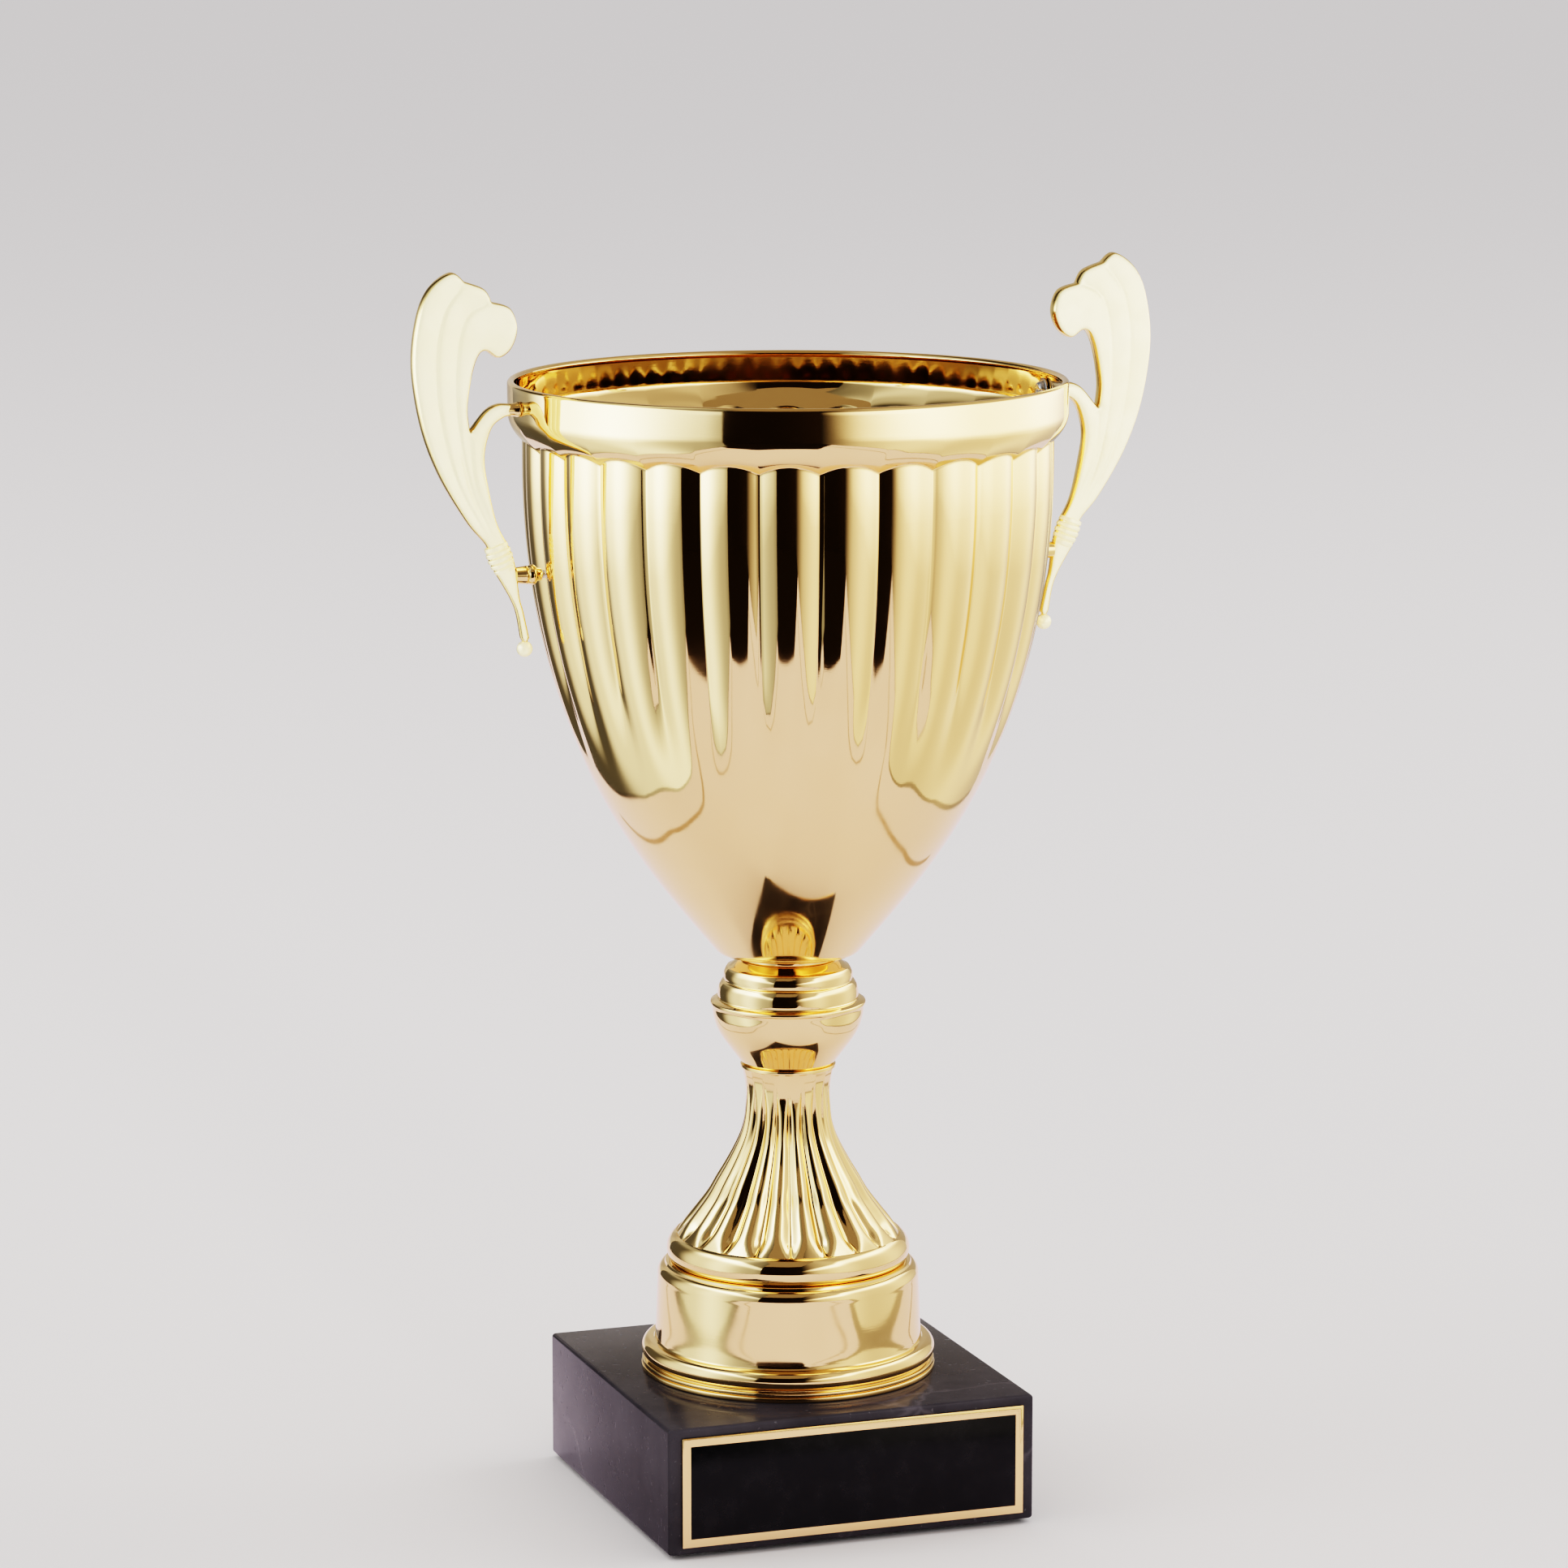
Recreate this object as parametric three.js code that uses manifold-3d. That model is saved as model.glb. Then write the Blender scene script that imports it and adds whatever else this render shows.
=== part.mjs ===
// Cup trophy: a gadrooned gilt cup with two cast handles, on a turned and ribbed stem, drawn down on a square
// marble block by one threaded rod. Millimetres, +Z up. The felt pads stand on z = 0, the cup's axis is the
// Z axis, the handles lie along X and the name plate is on the -Y side of the block.
import * as THREE from "three";
import { mergeVertices } from "three/addons/utils/BufferGeometryUtils.js";
import Module from "manifold-3d";

const wasm = await Module();
wasm.setup();

// ---- Driving dimensions ----
// Marble block and what is fixed to it.
const STONE_SIDE = 90;
const STONE_HEIGHT = 30;
const STONE_EDGE = 1;
const COUNTERBORE_RADIUS = 11;
const COUNTERBORE_DEPTH = 12;
const PAD_RADIUS = 6;
const PAD_THICKNESS = 1;
const PAD_OFFSET = 36;
const PLATE_WIDTH = 84;
const PLATE_HEIGHT = 26;
const PLATE_THICKNESS = 0.8;
const PLATE_BORDER = 2;
const PANEL_THICKNESS = 0.3;
const TAPE_THICKNESS = 0.4;
const TAPE_MARGIN = 3;

// Tie rod, with its nuts and washers: metric M6.
const ROD_RADIUS = 2.95;
const ROD_HOLE_RADIUS = 3.3;
const ROD_RISE = 110;
const ROD_DROP = 27.5;
const NUT_ACROSS_FLATS = 10;
const NUT_HEIGHT = 5;
const NUT_HOLE_RADIUS = 3.05;
const WASHER_RADIUS = 6;
const WASHER_THICKNESS = 1.6;

// Heights of the seams in the stack, above the top of the stone.
const DRUM_TOP = 26;
const COLUMN_TOP = 73.5;
const KNOB_SEAM = 89.3;
const KNOB_TOP = 98.5;
const NECK_TOP = 100.3;
const RIM_TOP = 235.5;

// Drum and column.
const DRUM_RADIUS = 31;
const DRUM_WALL = 0.9;
const COLUMN_RIBS = 20;
const RIB_DEPTH_WAIST = 1.3;
const RIB_DEPTH_FOOT = 2.6;
const NECK_RADIUS = 11.2;

// Bowl.
const BOWL_RADIUS = 61.7;
const BAND_RADIUS = 65;
const BAND_FOOT = 221;
const SWELL_HEIGHT = 7.2;
const BOWL_WALL = 0.8;
const BOWL_FLOOR_RADIUS = 17.2;
const GADROONS = 28;
const GADROON_DEPTH = 1.6;

// Handles and their screws.
const HANDLE_THICKNESS = 4;
const HANDLE_ROUNDING = 0.8;
const HANDLE_EDGE = 0.5;
const LINE_WIDTH = 0.5;
const LINE_DEPTH = 0.5;
const ARM_HEIGHT = 230.6;
const POST_HEIGHT = 192.5;
const SCREW_RADIUS = 1;
const SCREW_HOLE_RADIUS = 1.2;
const SCREW_HEAD_RADIUS = 2;
const SCREW_HEAD_HEIGHT = 1.3;
const SCREW_LENGTH = 7;
const SMALL_WASHER_RADIUS = 2.7;
const SMALL_WASHER_THICKNESS = 0.5;

const GAP = 0.3; // left between faces that only touch along a curve

// Sides of the polygons that stand for circles.
const STEM_SIDES = 40;
const KNOB_SIDES = 32;

// ---- Finishes ----
const finish = (color, roughness, metalness) =>
  new THREE.MeshStandardMaterial({ color, roughness, metalness });
const GILT = finish(0xe9c66b, 0.08, 1);
const SATIN_GILT = finish(0xf3e6bd, 0.32, 1);
const MARBLE = finish(0x352f35, 0.25, 0);
const FELT = finish(0x23262a, 0.95, 0);
const LACQUER = finish(0x0b0b0c, 0.12, 0);
const TAPE = finish(0xd8d8d2, 0.8, 0);
const ZINC = finish(0xb9bcc0, 0.35, 1);

// ---- Solids ----
// A closed geometry as a manifold-3d solid.
function solidOf(geometry) {
  const bare = geometry.index ? geometry.toNonIndexed() : geometry.clone();
  bare.deleteAttribute("normal");
  bare.deleteAttribute("uv");
  const merged = mergeVertices(bare, 1e-4);
  return new wasm.Manifold(
    new wasm.Mesh({
      numProp: 3,
      vertProperties: merged.attributes.position.array,
      triVerts: new Uint32Array(merged.index.array),
    }),
  );
}

// A manifold-3d solid as a geometry.
function geometryOf(solid) {
  const mesh = solid.getMesh();
  const geometry = new THREE.BufferGeometry();
  geometry.setAttribute("position", new THREE.BufferAttribute(mesh.vertProperties, 3));
  geometry.setIndex(new THREE.BufferAttribute(mesh.triVerts, 1));
  geometry.computeVertexNormals();
  return geometry;
}

// The first geometry with others added and others cut away.
function carve(base, { add = [], cut = [] }) {
  let solid = solidOf(base);
  for (const piece of add) solid = solid.add(solidOf(piece));
  for (const piece of cut) solid = solid.subtract(solidOf(piece));
  return geometryOf(solid);
}

// A solid turned about Z from a closed profile of [radius, height] points, going round anticlockwise.
function turned(profile, sides) {
  const points = [...profile, profile[0]].map(([r, z]) => new THREE.Vector2(r, z));
  return new THREE.LatheGeometry(points, sides).rotateX(Math.PI / 2);
}

// A cylinder about Z, its foot at height z.
function rod(radius, length, z, sides) {
  return new THREE.CylinderGeometry(radius, radius, length, sides)
    .rotateX(Math.PI / 2)
    .translate(0, 0, z + length / 2);
}

// A cylinder about X from x = from to x = to, at height z. The radius may change along it.
function crossRod(fromRadius, toRadius, from, to, z, sides) {
  return new THREE.CylinderGeometry(toRadius, fromRadius, to - from, sides)
    .rotateZ(-Math.PI / 2)
    .translate((from + to) / 2, 0, z);
}

// A ring about Z with a rectangular section.
function ring(inner, outer, z, height, sides) {
  const section = [
    [inner, z],
    [outer, z],
    [outer, z + height],
    [inner, z + height],
  ];
  return turned(section, sides);
}

// Points of a round stretch of a profile: centre, radius, and the angles it runs between, in degrees.
function arc([r, z], radius, from, to, steps) {
  const points = [];
  for (let i = 0; i <= steps; i++) {
    const angle = THREE.MathUtils.degToRad(from + ((to - from) * i) / steps);
    points.push([r + radius * Math.cos(angle), z + radius * Math.sin(angle)]);
  }
  return points;
}

// Points along a smooth curve through a few [x, y] points.
function smooth(points, steps) {
  const curve = new THREE.SplineCurve(points.map(([x, y]) => new THREE.Vector2(x, y)));
  return curve.getPoints(steps).map((p) => [p.x, p.y]);
}

// A ribbed skin round Z. Each row is [radius, height, rib depth], and the rows go round its closed section.
// Ribs are round and stand out, with sharp valleys between them, and one valley lies on +X.
function ribbed(rows, ribs, stepsPerRib) {
  const around = ribs * stepsPerRib;
  const positions = [];
  const indices = [];
  rows.forEach(([radius, height, depth]) => {
    for (let i = 0; i < around; i++) {
      const across = (2 * (i % stepsPerRib)) / stepsPerRib - 1;
      const angle = (2 * Math.PI * i) / around;
      const r = radius - depth * across * across;
      positions.push(r * Math.cos(angle), r * Math.sin(angle), height);
    }
  });
  rows.forEach((_, row) => {
    const above = (row + 1) % rows.length;
    for (let i = 0; i < around; i++) {
      const next = (i + 1) % around;
      const corners = [row * around + i, row * around + next, above * around + next, above * around + i];
      indices.push(corners[0], corners[1], corners[2], corners[0], corners[2], corners[3]);
    }
  });
  const geometry = new THREE.BufferGeometry();
  geometry.setAttribute("position", new THREE.Float32BufferAttribute(positions, 3));
  geometry.setIndex(indices);
  geometry.computeVertexNormals();
  return geometry;
}

// ---- Stone, pads and name plate ----
function marbleBase() {
  const half = STONE_SIDE / 2 - STONE_EDGE;
  const outline = new THREE.Shape();
  outline.moveTo(-half, -half);
  outline.lineTo(half, -half);
  outline.lineTo(half, half);
  outline.lineTo(-half, half);
  outline.closePath();
  const block = new THREE.ExtrudeGeometry(outline, {
    depth: STONE_HEIGHT - 2 * STONE_EDGE,
    bevelThickness: STONE_EDGE,
    bevelSize: STONE_EDGE,
    bevelSegments: 1,
  }).translate(0, 0, PAD_THICKNESS + STONE_EDGE);
  const through = rod(ROD_HOLE_RADIUS, STONE_HEIGHT * 2, -STONE_HEIGHT / 2, 32);
  const counterbore = rod(COUNTERBORE_RADIUS, COUNTERBORE_DEPTH + 10, PAD_THICKNESS - 10, 32);
  return carve(block, { cut: [through, counterbore] });
}

function feltPad(x, y) {
  return rod(PAD_RADIUS, PAD_THICKNESS, 0, 16).translate(x, y, 0);
}

// A thin slab on the front of the block: its back at depth y, its size and its thickness.
function slab(width, height, back, thickness) {
  const middle = PAD_THICKNESS + STONE_HEIGHT / 2;
  return new THREE.BoxGeometry(width, thickness, height).translate(0, back - thickness / 2, middle);
}

const PLATE_BACK = -STONE_SIDE / 2 - TAPE_THICKNESS;
const PANEL_BACK = PLATE_BACK - PLATE_THICKNESS + PANEL_THICKNESS;
const PANEL_WIDTH = PLATE_WIDTH - 2 * PLATE_BORDER;
const PANEL_HEIGHT = PLATE_HEIGHT - 2 * PLATE_BORDER;

function plateTape() {
  const width = PLATE_WIDTH - 2 * TAPE_MARGIN;
  const height = PLATE_HEIGHT - 2 * TAPE_MARGIN;
  return slab(width, height, -STONE_SIDE / 2, TAPE_THICKNESS);
}

function namePlate() {
  const plate = slab(PLATE_WIDTH, PLATE_HEIGHT, PLATE_BACK, PLATE_THICKNESS);
  const recess = slab(PANEL_WIDTH, PANEL_HEIGHT, PANEL_BACK, PANEL_THICKNESS * 2);
  return carve(plate, { cut: [recess] });
}

function platePanel() {
  return slab(PANEL_WIDTH, PANEL_HEIGHT, PANEL_BACK, PANEL_THICKNESS);
}

// ---- Stem ----
// Pressed drum with a stepped, beaded foot and a flat top plate, open underneath.
function footDrum() {
  const inside = DRUM_RADIUS - DRUM_WALL;
  const profile = [
    [inside + 1, 0],
    [34.9, 0],
    [34.9, 2.1],
    [33.9, 2.6],
    ...arc([32.5, 4.7], 2.35, -40, 80, 4),
    [31.7, 7.4],
    [DRUM_RADIUS + 0.2, 17],
    [DRUM_RADIUS, 22.6],
    ...arc([DRUM_RADIUS - 2.7, 23], 2.7, 12, 68, 3),
    [29, DRUM_TOP],
    [ROD_HOLE_RADIUS, DRUM_TOP],
    [ROD_HOLE_RADIUS, DRUM_TOP - DRUM_WALL],
    [28, DRUM_TOP - DRUM_WALL],
    [inside, 22.6],
    [inside, 3],
  ];
  return turned(profile, STEM_SIDES);
}

// Ribbed column that spreads from a narrow waist to a round bead at its foot, hollow from below. The ribs
// rise out of the bead and fade out again under a thin flange at the top.
function column() {
  const bead = arc([25.5, 29.3], 3.3, -90, 60, 5).map(([r, z]) => [r, z, 0]);
  const rows = [
    [22, DRUM_TOP, 0],
    ...bead,
    [26.4, 32.4, 0],
    [24.5, 35.1, RIB_DEPTH_FOOT],
    [21.7, 38.7, RIB_DEPTH_FOOT],
    [17.1, 45.7, 2],
    [13.1, 52.7, 1.6],
    [11.5, 56.2, 1.4],
    [10.5, 59.7, RIB_DEPTH_WAIST],
    [10, 65, 0.9],
    [10.3, 70, 0],
    [11, 72.7, 0],
    [11.3, 72.8, 0],
    [11.3, COLUMN_TOP, 0],
    [ROD_HOLE_RADIUS, COLUMN_TOP, 0],
    [ROD_HOLE_RADIUS, 60, 0],
    [5.5, 58, 0],
    [20, 30, 0],
  ];
  return ribbed(rows, COLUMN_RIBS, 3);
}

// Lower half of the knob: a cup with a beaded rim, open at the top.
function knobLower() {
  const profile = [
    [ROD_HOLE_RADIUS, COLUMN_TOP],
    [10.7, COLUMN_TOP],
    ...smooth(
      [
        [10.9, 73.9],
        [13.7, 77.6],
        [15.5, 80.1],
        [16.7, 82.6],
        [17.7, 86.1],
        [17.8, 87.4],
      ],
      7,
    ),
    ...arc([17.5, 88.3], 1, -45, 90, 4),
    [15.6, KNOB_SEAM],
    [15.4, 84],
    [12, 77],
    [9, 75.4],
    [ROD_HOLE_RADIUS, 75.4],
  ];
  return turned(profile, KNOB_SIDES);
}

// Upper half of the knob: a stepped dome, open underneath.
function knobUpper() {
  const profile = [
    [14.8, KNOB_SEAM],
    [16.4, KNOB_SEAM],
    [15.6, 90.2],
    ...arc([14.5, 92], 1.8, -45, 60, 3),
    [15, 93.8],
    ...arc([13.6, 95.4], 1.6, -50, 55, 3),
    [14.2, 96.9],
    [12, KNOB_TOP],
    [ROD_HOLE_RADIUS, KNOB_TOP],
    [ROD_HOLE_RADIUS, KNOB_TOP - 1.2],
    [11.6, KNOB_TOP - 1.2],
    [13.4, 95.4],
    [14, 93.6],
    [14.6, 91],
  ];
  return turned(profile, KNOB_SIDES);
}

// Plain disc between the knob and the bowl.
function neckCollar() {
  return ring(ROD_HOLE_RADIUS, NECK_RADIUS, KNOB_TOP, NECK_TOP - KNOB_TOP, KNOB_SIDES);
}

// ---- Bowl ----
// The bowl's outer wall from its floor to the foot of the plain band, as one cubic curve.
const WALL_CURVE = new THREE.CubicBezierCurve(
  new THREE.Vector2(BOWL_FLOOR_RADIUS, NECK_TOP + 0.9),
  new THREE.Vector2(31, 118),
  new THREE.Vector2(BOWL_RADIUS, 149),
  new THREE.Vector2(BOWL_RADIUS, 216),
);

// The gadroons rise out of the plain lower bowl and end in the shoulder under the band.
function gadroonDepth(height) {
  const rise = THREE.MathUtils.smoothstep(height, 132, 172);
  const end = 1 - THREE.MathUtils.smoothstep(height, 218, 224);
  return GADROON_DEPTH * rise * end;
}

// A thin pressed shell: the wall curve, the round shoulder, the band and the rounded rim, then the same back
// down inside, one wall thickness in.
function bowl() {
  const wall = [];
  const steps = 7;
  for (let i = 0; i <= steps; i++) {
    const point = WALL_CURVE.getPoint(i / steps);
    const normal = WALL_CURVE.getTangent(i / steps);
    wall.push({ r: point.x, z: point.y, in: [-normal.y, normal.x] });
  }
  const swellSteps = 3;
  for (let i = 0; i <= swellSteps; i++) {
    const left = 1 - i / swellSteps;
    const r = BAND_RADIUS - (BAND_RADIUS - BOWL_RADIUS) * left * left;
    wall.push({ r, z: BAND_FOOT + (SWELL_HEIGHT * i) / swellSteps, in: [-1, 0] });
  }
  const skin = (offset) =>
    wall.map((p) => {
      const z = p.z + p.in[1] * offset;
      return [p.r + p.in[0] * offset, z, gadroonDepth(z)];
    });
  const bead = arc([BAND_RADIUS - 0.9, RIM_TOP - 0.9], 0.9, 0, 200, 4).map(([r, z]) => [r, z, 0]);
  const rows = [
    [ROD_HOLE_RADIUS, NECK_TOP, 0],
    [BOWL_FLOOR_RADIUS - 1.6, NECK_TOP, 0],
    ...skin(0),
    ...bead,
    [BAND_RADIUS - BOWL_WALL, RIM_TOP - 1.9, 0],
    ...skin(BOWL_WALL).reverse(),
    [BOWL_FLOOR_RADIUS - 2.6, NECK_TOP + BOWL_WALL, 0],
    [ROD_HOLE_RADIUS, NECK_TOP + BOWL_WALL, 0],
  ];
  const holes = [ARM_HEIGHT, POST_HEIGHT].map((height) =>
    crossRod(SCREW_HOLE_RADIUS, SCREW_HOLE_RADIUS, -80, 80, height, 12),
  );
  return carve(ribbed(rows, GADROONS, 3), { cut: holes });
}

// ---- Handles ----
// Outline of the casting in [distance from the cup's axis, height above the stone]. Each list is one smooth
// stretch, and the lists meet at corners.
const HANDLE_OUTLINE = [
  // Outer edge, from the notch beside the first plume over its tip and down to the collar.
  [
    [78, 260.2],
    [81.2, 262.3],
    [86.3, 258.7],
    [89.2, 252],
    [90.4, 241],
    [88.4, 227.5],
    [84.2, 216],
    [77.8, 205.2],
    [73.2, 199.6],
  ],
  // Collar and slender tail, down to the ball.
  [
    [73.2, 199.6],
    [72.7, 196.6],
    [71.2, 193.4],
    [69.4, 190.4],
    [67.5, 187],
    [66.2, 183.6],
    [65.3, 178],
  ],
  [
    [65.3, 178],
    [64.2, 176.6],
    [63.1, 178],
  ],
  [
    [63.1, 178],
    [64.4, 184],
    [65.4, 187.4],
    [66.2, 193.6],
    [66.9, 196.6],
    [68.2, 199.8],
  ],
  // Inner edge of the arm, up to its foot on the rim band.
  [
    [68.2, 199.8],
    [70.8, 205],
    [72.9, 214],
    [73.5, 220.7],
    [71.8, 226.6],
    [69, 228.9],
    [67.2, 229.2],
  ],
  [
    [67.2, 229.2],
    [67.2, 232],
  ],
  // Back along the top of the arm to the crotch.
  [
    [67.2, 232],
    [70.4, 232.1],
    [73.4, 230.5],
    [77, 226.1],
  ],
  // Inner edge of the plumes, the scroll and the tip of the second plume.
  [
    [77, 226.1],
    [77.5, 231.5],
    [76.5, 238.4],
    [75, 243],
    [73.2, 244.3],
    [70.2, 242.6],
    [67.1, 244.6],
    [65.6, 249.1],
    [67.2, 253.8],
    [71.6, 255.4],
  ],
  [
    [71.6, 255.4],
    [73.4, 258.4],
    [78, 260.2],
  ],
];

// Lines engraved between the plumes on both faces.
const HANDLE_LINES = [
  [
    [78.3, 259.4],
    [82.8, 253.2],
    [84.8, 243],
    [84, 229.5],
    [80.2, 214.8],
    [73.4, 202],
  ],
  [
    [72.6, 255],
    [77.4, 252.3],
    [79.8, 244],
    [80, 230],
    [77.2, 214],
    [72, 202],
  ],
  [
    [77.1, 225],
    [75.8, 213.5],
    [70.8, 202.4],
  ],
];

// Stands a shape drawn in [x, height] up in the XZ plane, centred on y.
function upright(shape, options, y) {
  const geometry = new THREE.ExtrudeGeometry(shape, options);
  return geometry.rotateX(Math.PI / 2).translate(0, options.depth / 2 + y, 0);
}

// A groove of constant width along a line, on the face whose side is +1 or -1.
function engravedLine(line, side) {
  const centre = new THREE.SplineCurve(line.map(([x, y]) => new THREE.Vector2(x, y)));
  const steps = 9;
  const left = [];
  const right = [];
  for (let i = 0; i <= steps; i++) {
    const point = centre.getPoint(i / steps);
    const tangent = centre.getTangent(i / steps);
    const across = new THREE.Vector2(-tangent.y, tangent.x).multiplyScalar(LINE_WIDTH / 2);
    left.push(point.clone().add(across));
    right.push(point.clone().sub(across));
  }
  const shape = new THREE.Shape([...left, ...right.reverse()]);
  const options = { depth: 2 * LINE_DEPTH, bevelEnabled: false };
  return upright(shape, options, (side * HANDLE_THICKNESS) / 2);
}

// One handle, made on the +X side: the flat casting, barrel collar, tail ball and the two tapped bosses.
function handle() {
  const outline = new THREE.Shape();
  outline.moveTo(...HANDLE_OUTLINE[0][0]);
  for (const stretch of HANDLE_OUTLINE) {
    outline.splineThru(stretch.slice(1).map(([x, y]) => new THREE.Vector2(x, y)));
  }
  const body = upright(
    outline,
    {
      depth: HANDLE_THICKNESS - 2 * HANDLE_ROUNDING,
      curveSegments: 2,
      bevelThickness: HANDLE_ROUNDING,
      bevelSize: HANDLE_EDGE,
      bevelOffset: -HANDLE_EDGE,
      bevelSegments: 1,
    },
    0,
  );
  const collarAxis = Math.atan2(70.5 - 68.4, 199 - 193.5);
  // The barrel's bore lies wholly inside the casting, which fills it.
  const barrel = [
    [0.5, -3.2],
    [2.3, -3.2],
    [3, 0],
    [2.6, 3.2],
    [0.5, 3.2],
  ];
  const collar = turned(barrel, 16)
    .scale(1, 0.8, 1)
    .rotateY(collarAxis)
    .translate(69.8, 0, 196.6);
  const ball = new THREE.SphereGeometry(1.85, 8, 6).translate(64.2, 0, 175.4);
  const arm = crossRod(1.8, 1.8, BAND_RADIUS + GAP, 69.5, ARM_HEIGHT, 12);
  const post = crossRod(2.35, 1.9, 61.4, 67.5, POST_HEIGHT, 12);
  const nose = crossRod(1.6, 1.6, 60.2, 62, POST_HEIGHT, 12);
  const bores = [
    crossRod(SCREW_HOLE_RADIUS, SCREW_HOLE_RADIUS, 60, 66, POST_HEIGHT, 12),
    crossRod(SCREW_HOLE_RADIUS, SCREW_HOLE_RADIUS, 64, 71, ARM_HEIGHT, 12),
  ];
  const lines = HANDLE_LINES.flatMap((line) => [engravedLine(line, 1), engravedLine(line, -1)]);
  return carve(body, { add: [collar, ball, arm, post, nose], cut: [...lines, ...bores] });
}

// ---- Fasteners ----
// Where the inner face of each small washer lies: just clear of the bowl's inner wall.
const ARM_WASHER_FACE = BAND_RADIUS - BOWL_WALL - GAP;
const POST_WASHER_FACE = 57.1;

// Slotted pan-head screw from inside the bowl, its shank pointing out along +X from under its head.
function handleScrew(face, height) {
  const underHead = face - SMALL_WASHER_THICKNESS;
  const headEnd = underHead - SCREW_HEAD_HEIGHT;
  const head = crossRod(0.75 * SCREW_HEAD_RADIUS, SCREW_HEAD_RADIUS, headEnd, underHead, height, 12);
  const shank = crossRod(SCREW_RADIUS, SCREW_RADIUS, underHead - 0.5, underHead + SCREW_LENGTH, height, 12);
  const slot = new THREE.BoxGeometry(1, 6, 0.5).translate(headEnd, 0, height);
  return carve(head, { add: [shank], cut: [slot] });
}

function handleWasher(face, height) {
  return ring(SCREW_HOLE_RADIUS, SMALL_WASHER_RADIUS, 0, SMALL_WASHER_THICKNESS, 12)
    .rotateY(-Math.PI / 2)
    .translate(face, 0, height);
}

function hexNut(z) {
  const corner = NUT_ACROSS_FLATS / Math.sqrt(3);
  const hexagon = rod(corner, NUT_HEIGHT, z, 6);
  const hole = rod(NUT_HOLE_RADIUS, NUT_HEIGHT * 2, z - NUT_HEIGHT / 2, 24);
  return carve(hexagon, { cut: [hole] });
}

function rodWasher(z) {
  return ring(ROD_HOLE_RADIUS, WASHER_RADIUS, z, WASHER_THICKNESS, 24);
}

// ---- Assembly ----
const trophy = new THREE.Group();
const cup = new THREE.Group(); // everything measured from the top of the stone
cup.position.z = PAD_THICKNESS + STONE_HEIGHT;
trophy.add(cup);

function place(group, name, geometry, material) {
  const mesh = new THREE.Mesh(geometry, material);
  mesh.name = name;
  group.add(mesh);
  return mesh;
}

place(trophy, "marble_base", marbleBase(), MARBLE);
let padNumber = 0;
for (const y of [-PAD_OFFSET, PAD_OFFSET]) {
  for (const x of [-PAD_OFFSET, PAD_OFFSET]) {
    padNumber += 1;
    place(trophy, `felt_pad_${padNumber}`, feltPad(x, y), FELT);
  }
}
place(trophy, "plate_tape", plateTape(), TAPE);
place(trophy, "name_plate", namePlate(), GILT);
place(trophy, "plate_panel", platePanel(), LACQUER);

place(cup, "foot_drum", footDrum(), GILT);
place(cup, "column", column(), GILT);
place(cup, "knob_lower", knobLower(), GILT);
place(cup, "knob_upper", knobUpper(), GILT);
place(cup, "neck_collar", neckCollar(), GILT);
place(cup, "bowl", bowl(), GILT);

// The two sides are the same pieces, turned half round.
for (const [side, turn] of [
  ["right", 0],
  ["left", Math.PI],
]) {
  const wing = new THREE.Group();
  wing.rotation.z = turn;
  cup.add(wing);
  place(wing, `handle_${side}`, handle(), SATIN_GILT);
  for (const [seat, face, height] of [
    ["upper", ARM_WASHER_FACE, ARM_HEIGHT],
    ["lower", POST_WASHER_FACE, POST_HEIGHT],
  ]) {
    place(wing, `screw_${seat}_${side}`, handleScrew(face, height), ZINC);
    place(wing, `washer_${seat}_${side}`, handleWasher(face, height), ZINC);
  }
}

const COUNTERBORE_CEILING = COUNTERBORE_DEPTH - STONE_HEIGHT;
const BOWL_FLOOR = NECK_TOP + BOWL_WALL;
place(cup, "tie_rod", rod(ROD_RADIUS, ROD_RISE + ROD_DROP, -ROD_DROP, 20), ZINC);
place(cup, "rod_washer_top", rodWasher(BOWL_FLOOR), ZINC);
place(cup, "rod_nut_top", hexNut(BOWL_FLOOR + WASHER_THICKNESS), ZINC);
place(cup, "rod_washer_bottom", rodWasher(COUNTERBORE_CEILING - WASHER_THICKNESS), ZINC);
place(cup, "rod_nut_bottom", hexNut(COUNTERBORE_CEILING - WASHER_THICKNESS - NUT_HEIGHT), ZINC);

export default trophy;
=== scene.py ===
"""The looks of the cup trophy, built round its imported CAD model.

Sizes are in millimetres and heights are measured from the top of the stone, unless a name says otherwise.
They turn into metres in the part's own frame where a mesh is made.
"""

import math

import bmesh
import bpy
import numpy as np
from mathutils import Matrix, Vector
from mathutils.geometry import delaunay_2d_cdt


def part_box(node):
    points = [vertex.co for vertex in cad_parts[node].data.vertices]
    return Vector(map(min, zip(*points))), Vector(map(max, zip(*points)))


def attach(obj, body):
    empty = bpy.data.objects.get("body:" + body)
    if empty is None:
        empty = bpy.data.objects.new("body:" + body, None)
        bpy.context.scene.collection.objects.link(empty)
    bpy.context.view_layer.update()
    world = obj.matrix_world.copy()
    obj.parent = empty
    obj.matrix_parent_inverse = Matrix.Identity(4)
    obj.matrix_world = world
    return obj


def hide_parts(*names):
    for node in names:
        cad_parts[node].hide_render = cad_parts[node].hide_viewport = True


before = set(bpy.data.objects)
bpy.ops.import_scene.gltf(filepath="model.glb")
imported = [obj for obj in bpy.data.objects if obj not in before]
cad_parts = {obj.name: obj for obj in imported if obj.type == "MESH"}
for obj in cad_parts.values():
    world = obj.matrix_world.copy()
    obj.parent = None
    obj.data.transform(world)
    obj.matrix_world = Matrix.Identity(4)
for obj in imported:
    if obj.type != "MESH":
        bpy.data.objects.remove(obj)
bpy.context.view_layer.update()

MM = 0.001
SEED = 7
random = np.random.default_rng(SEED)


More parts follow.
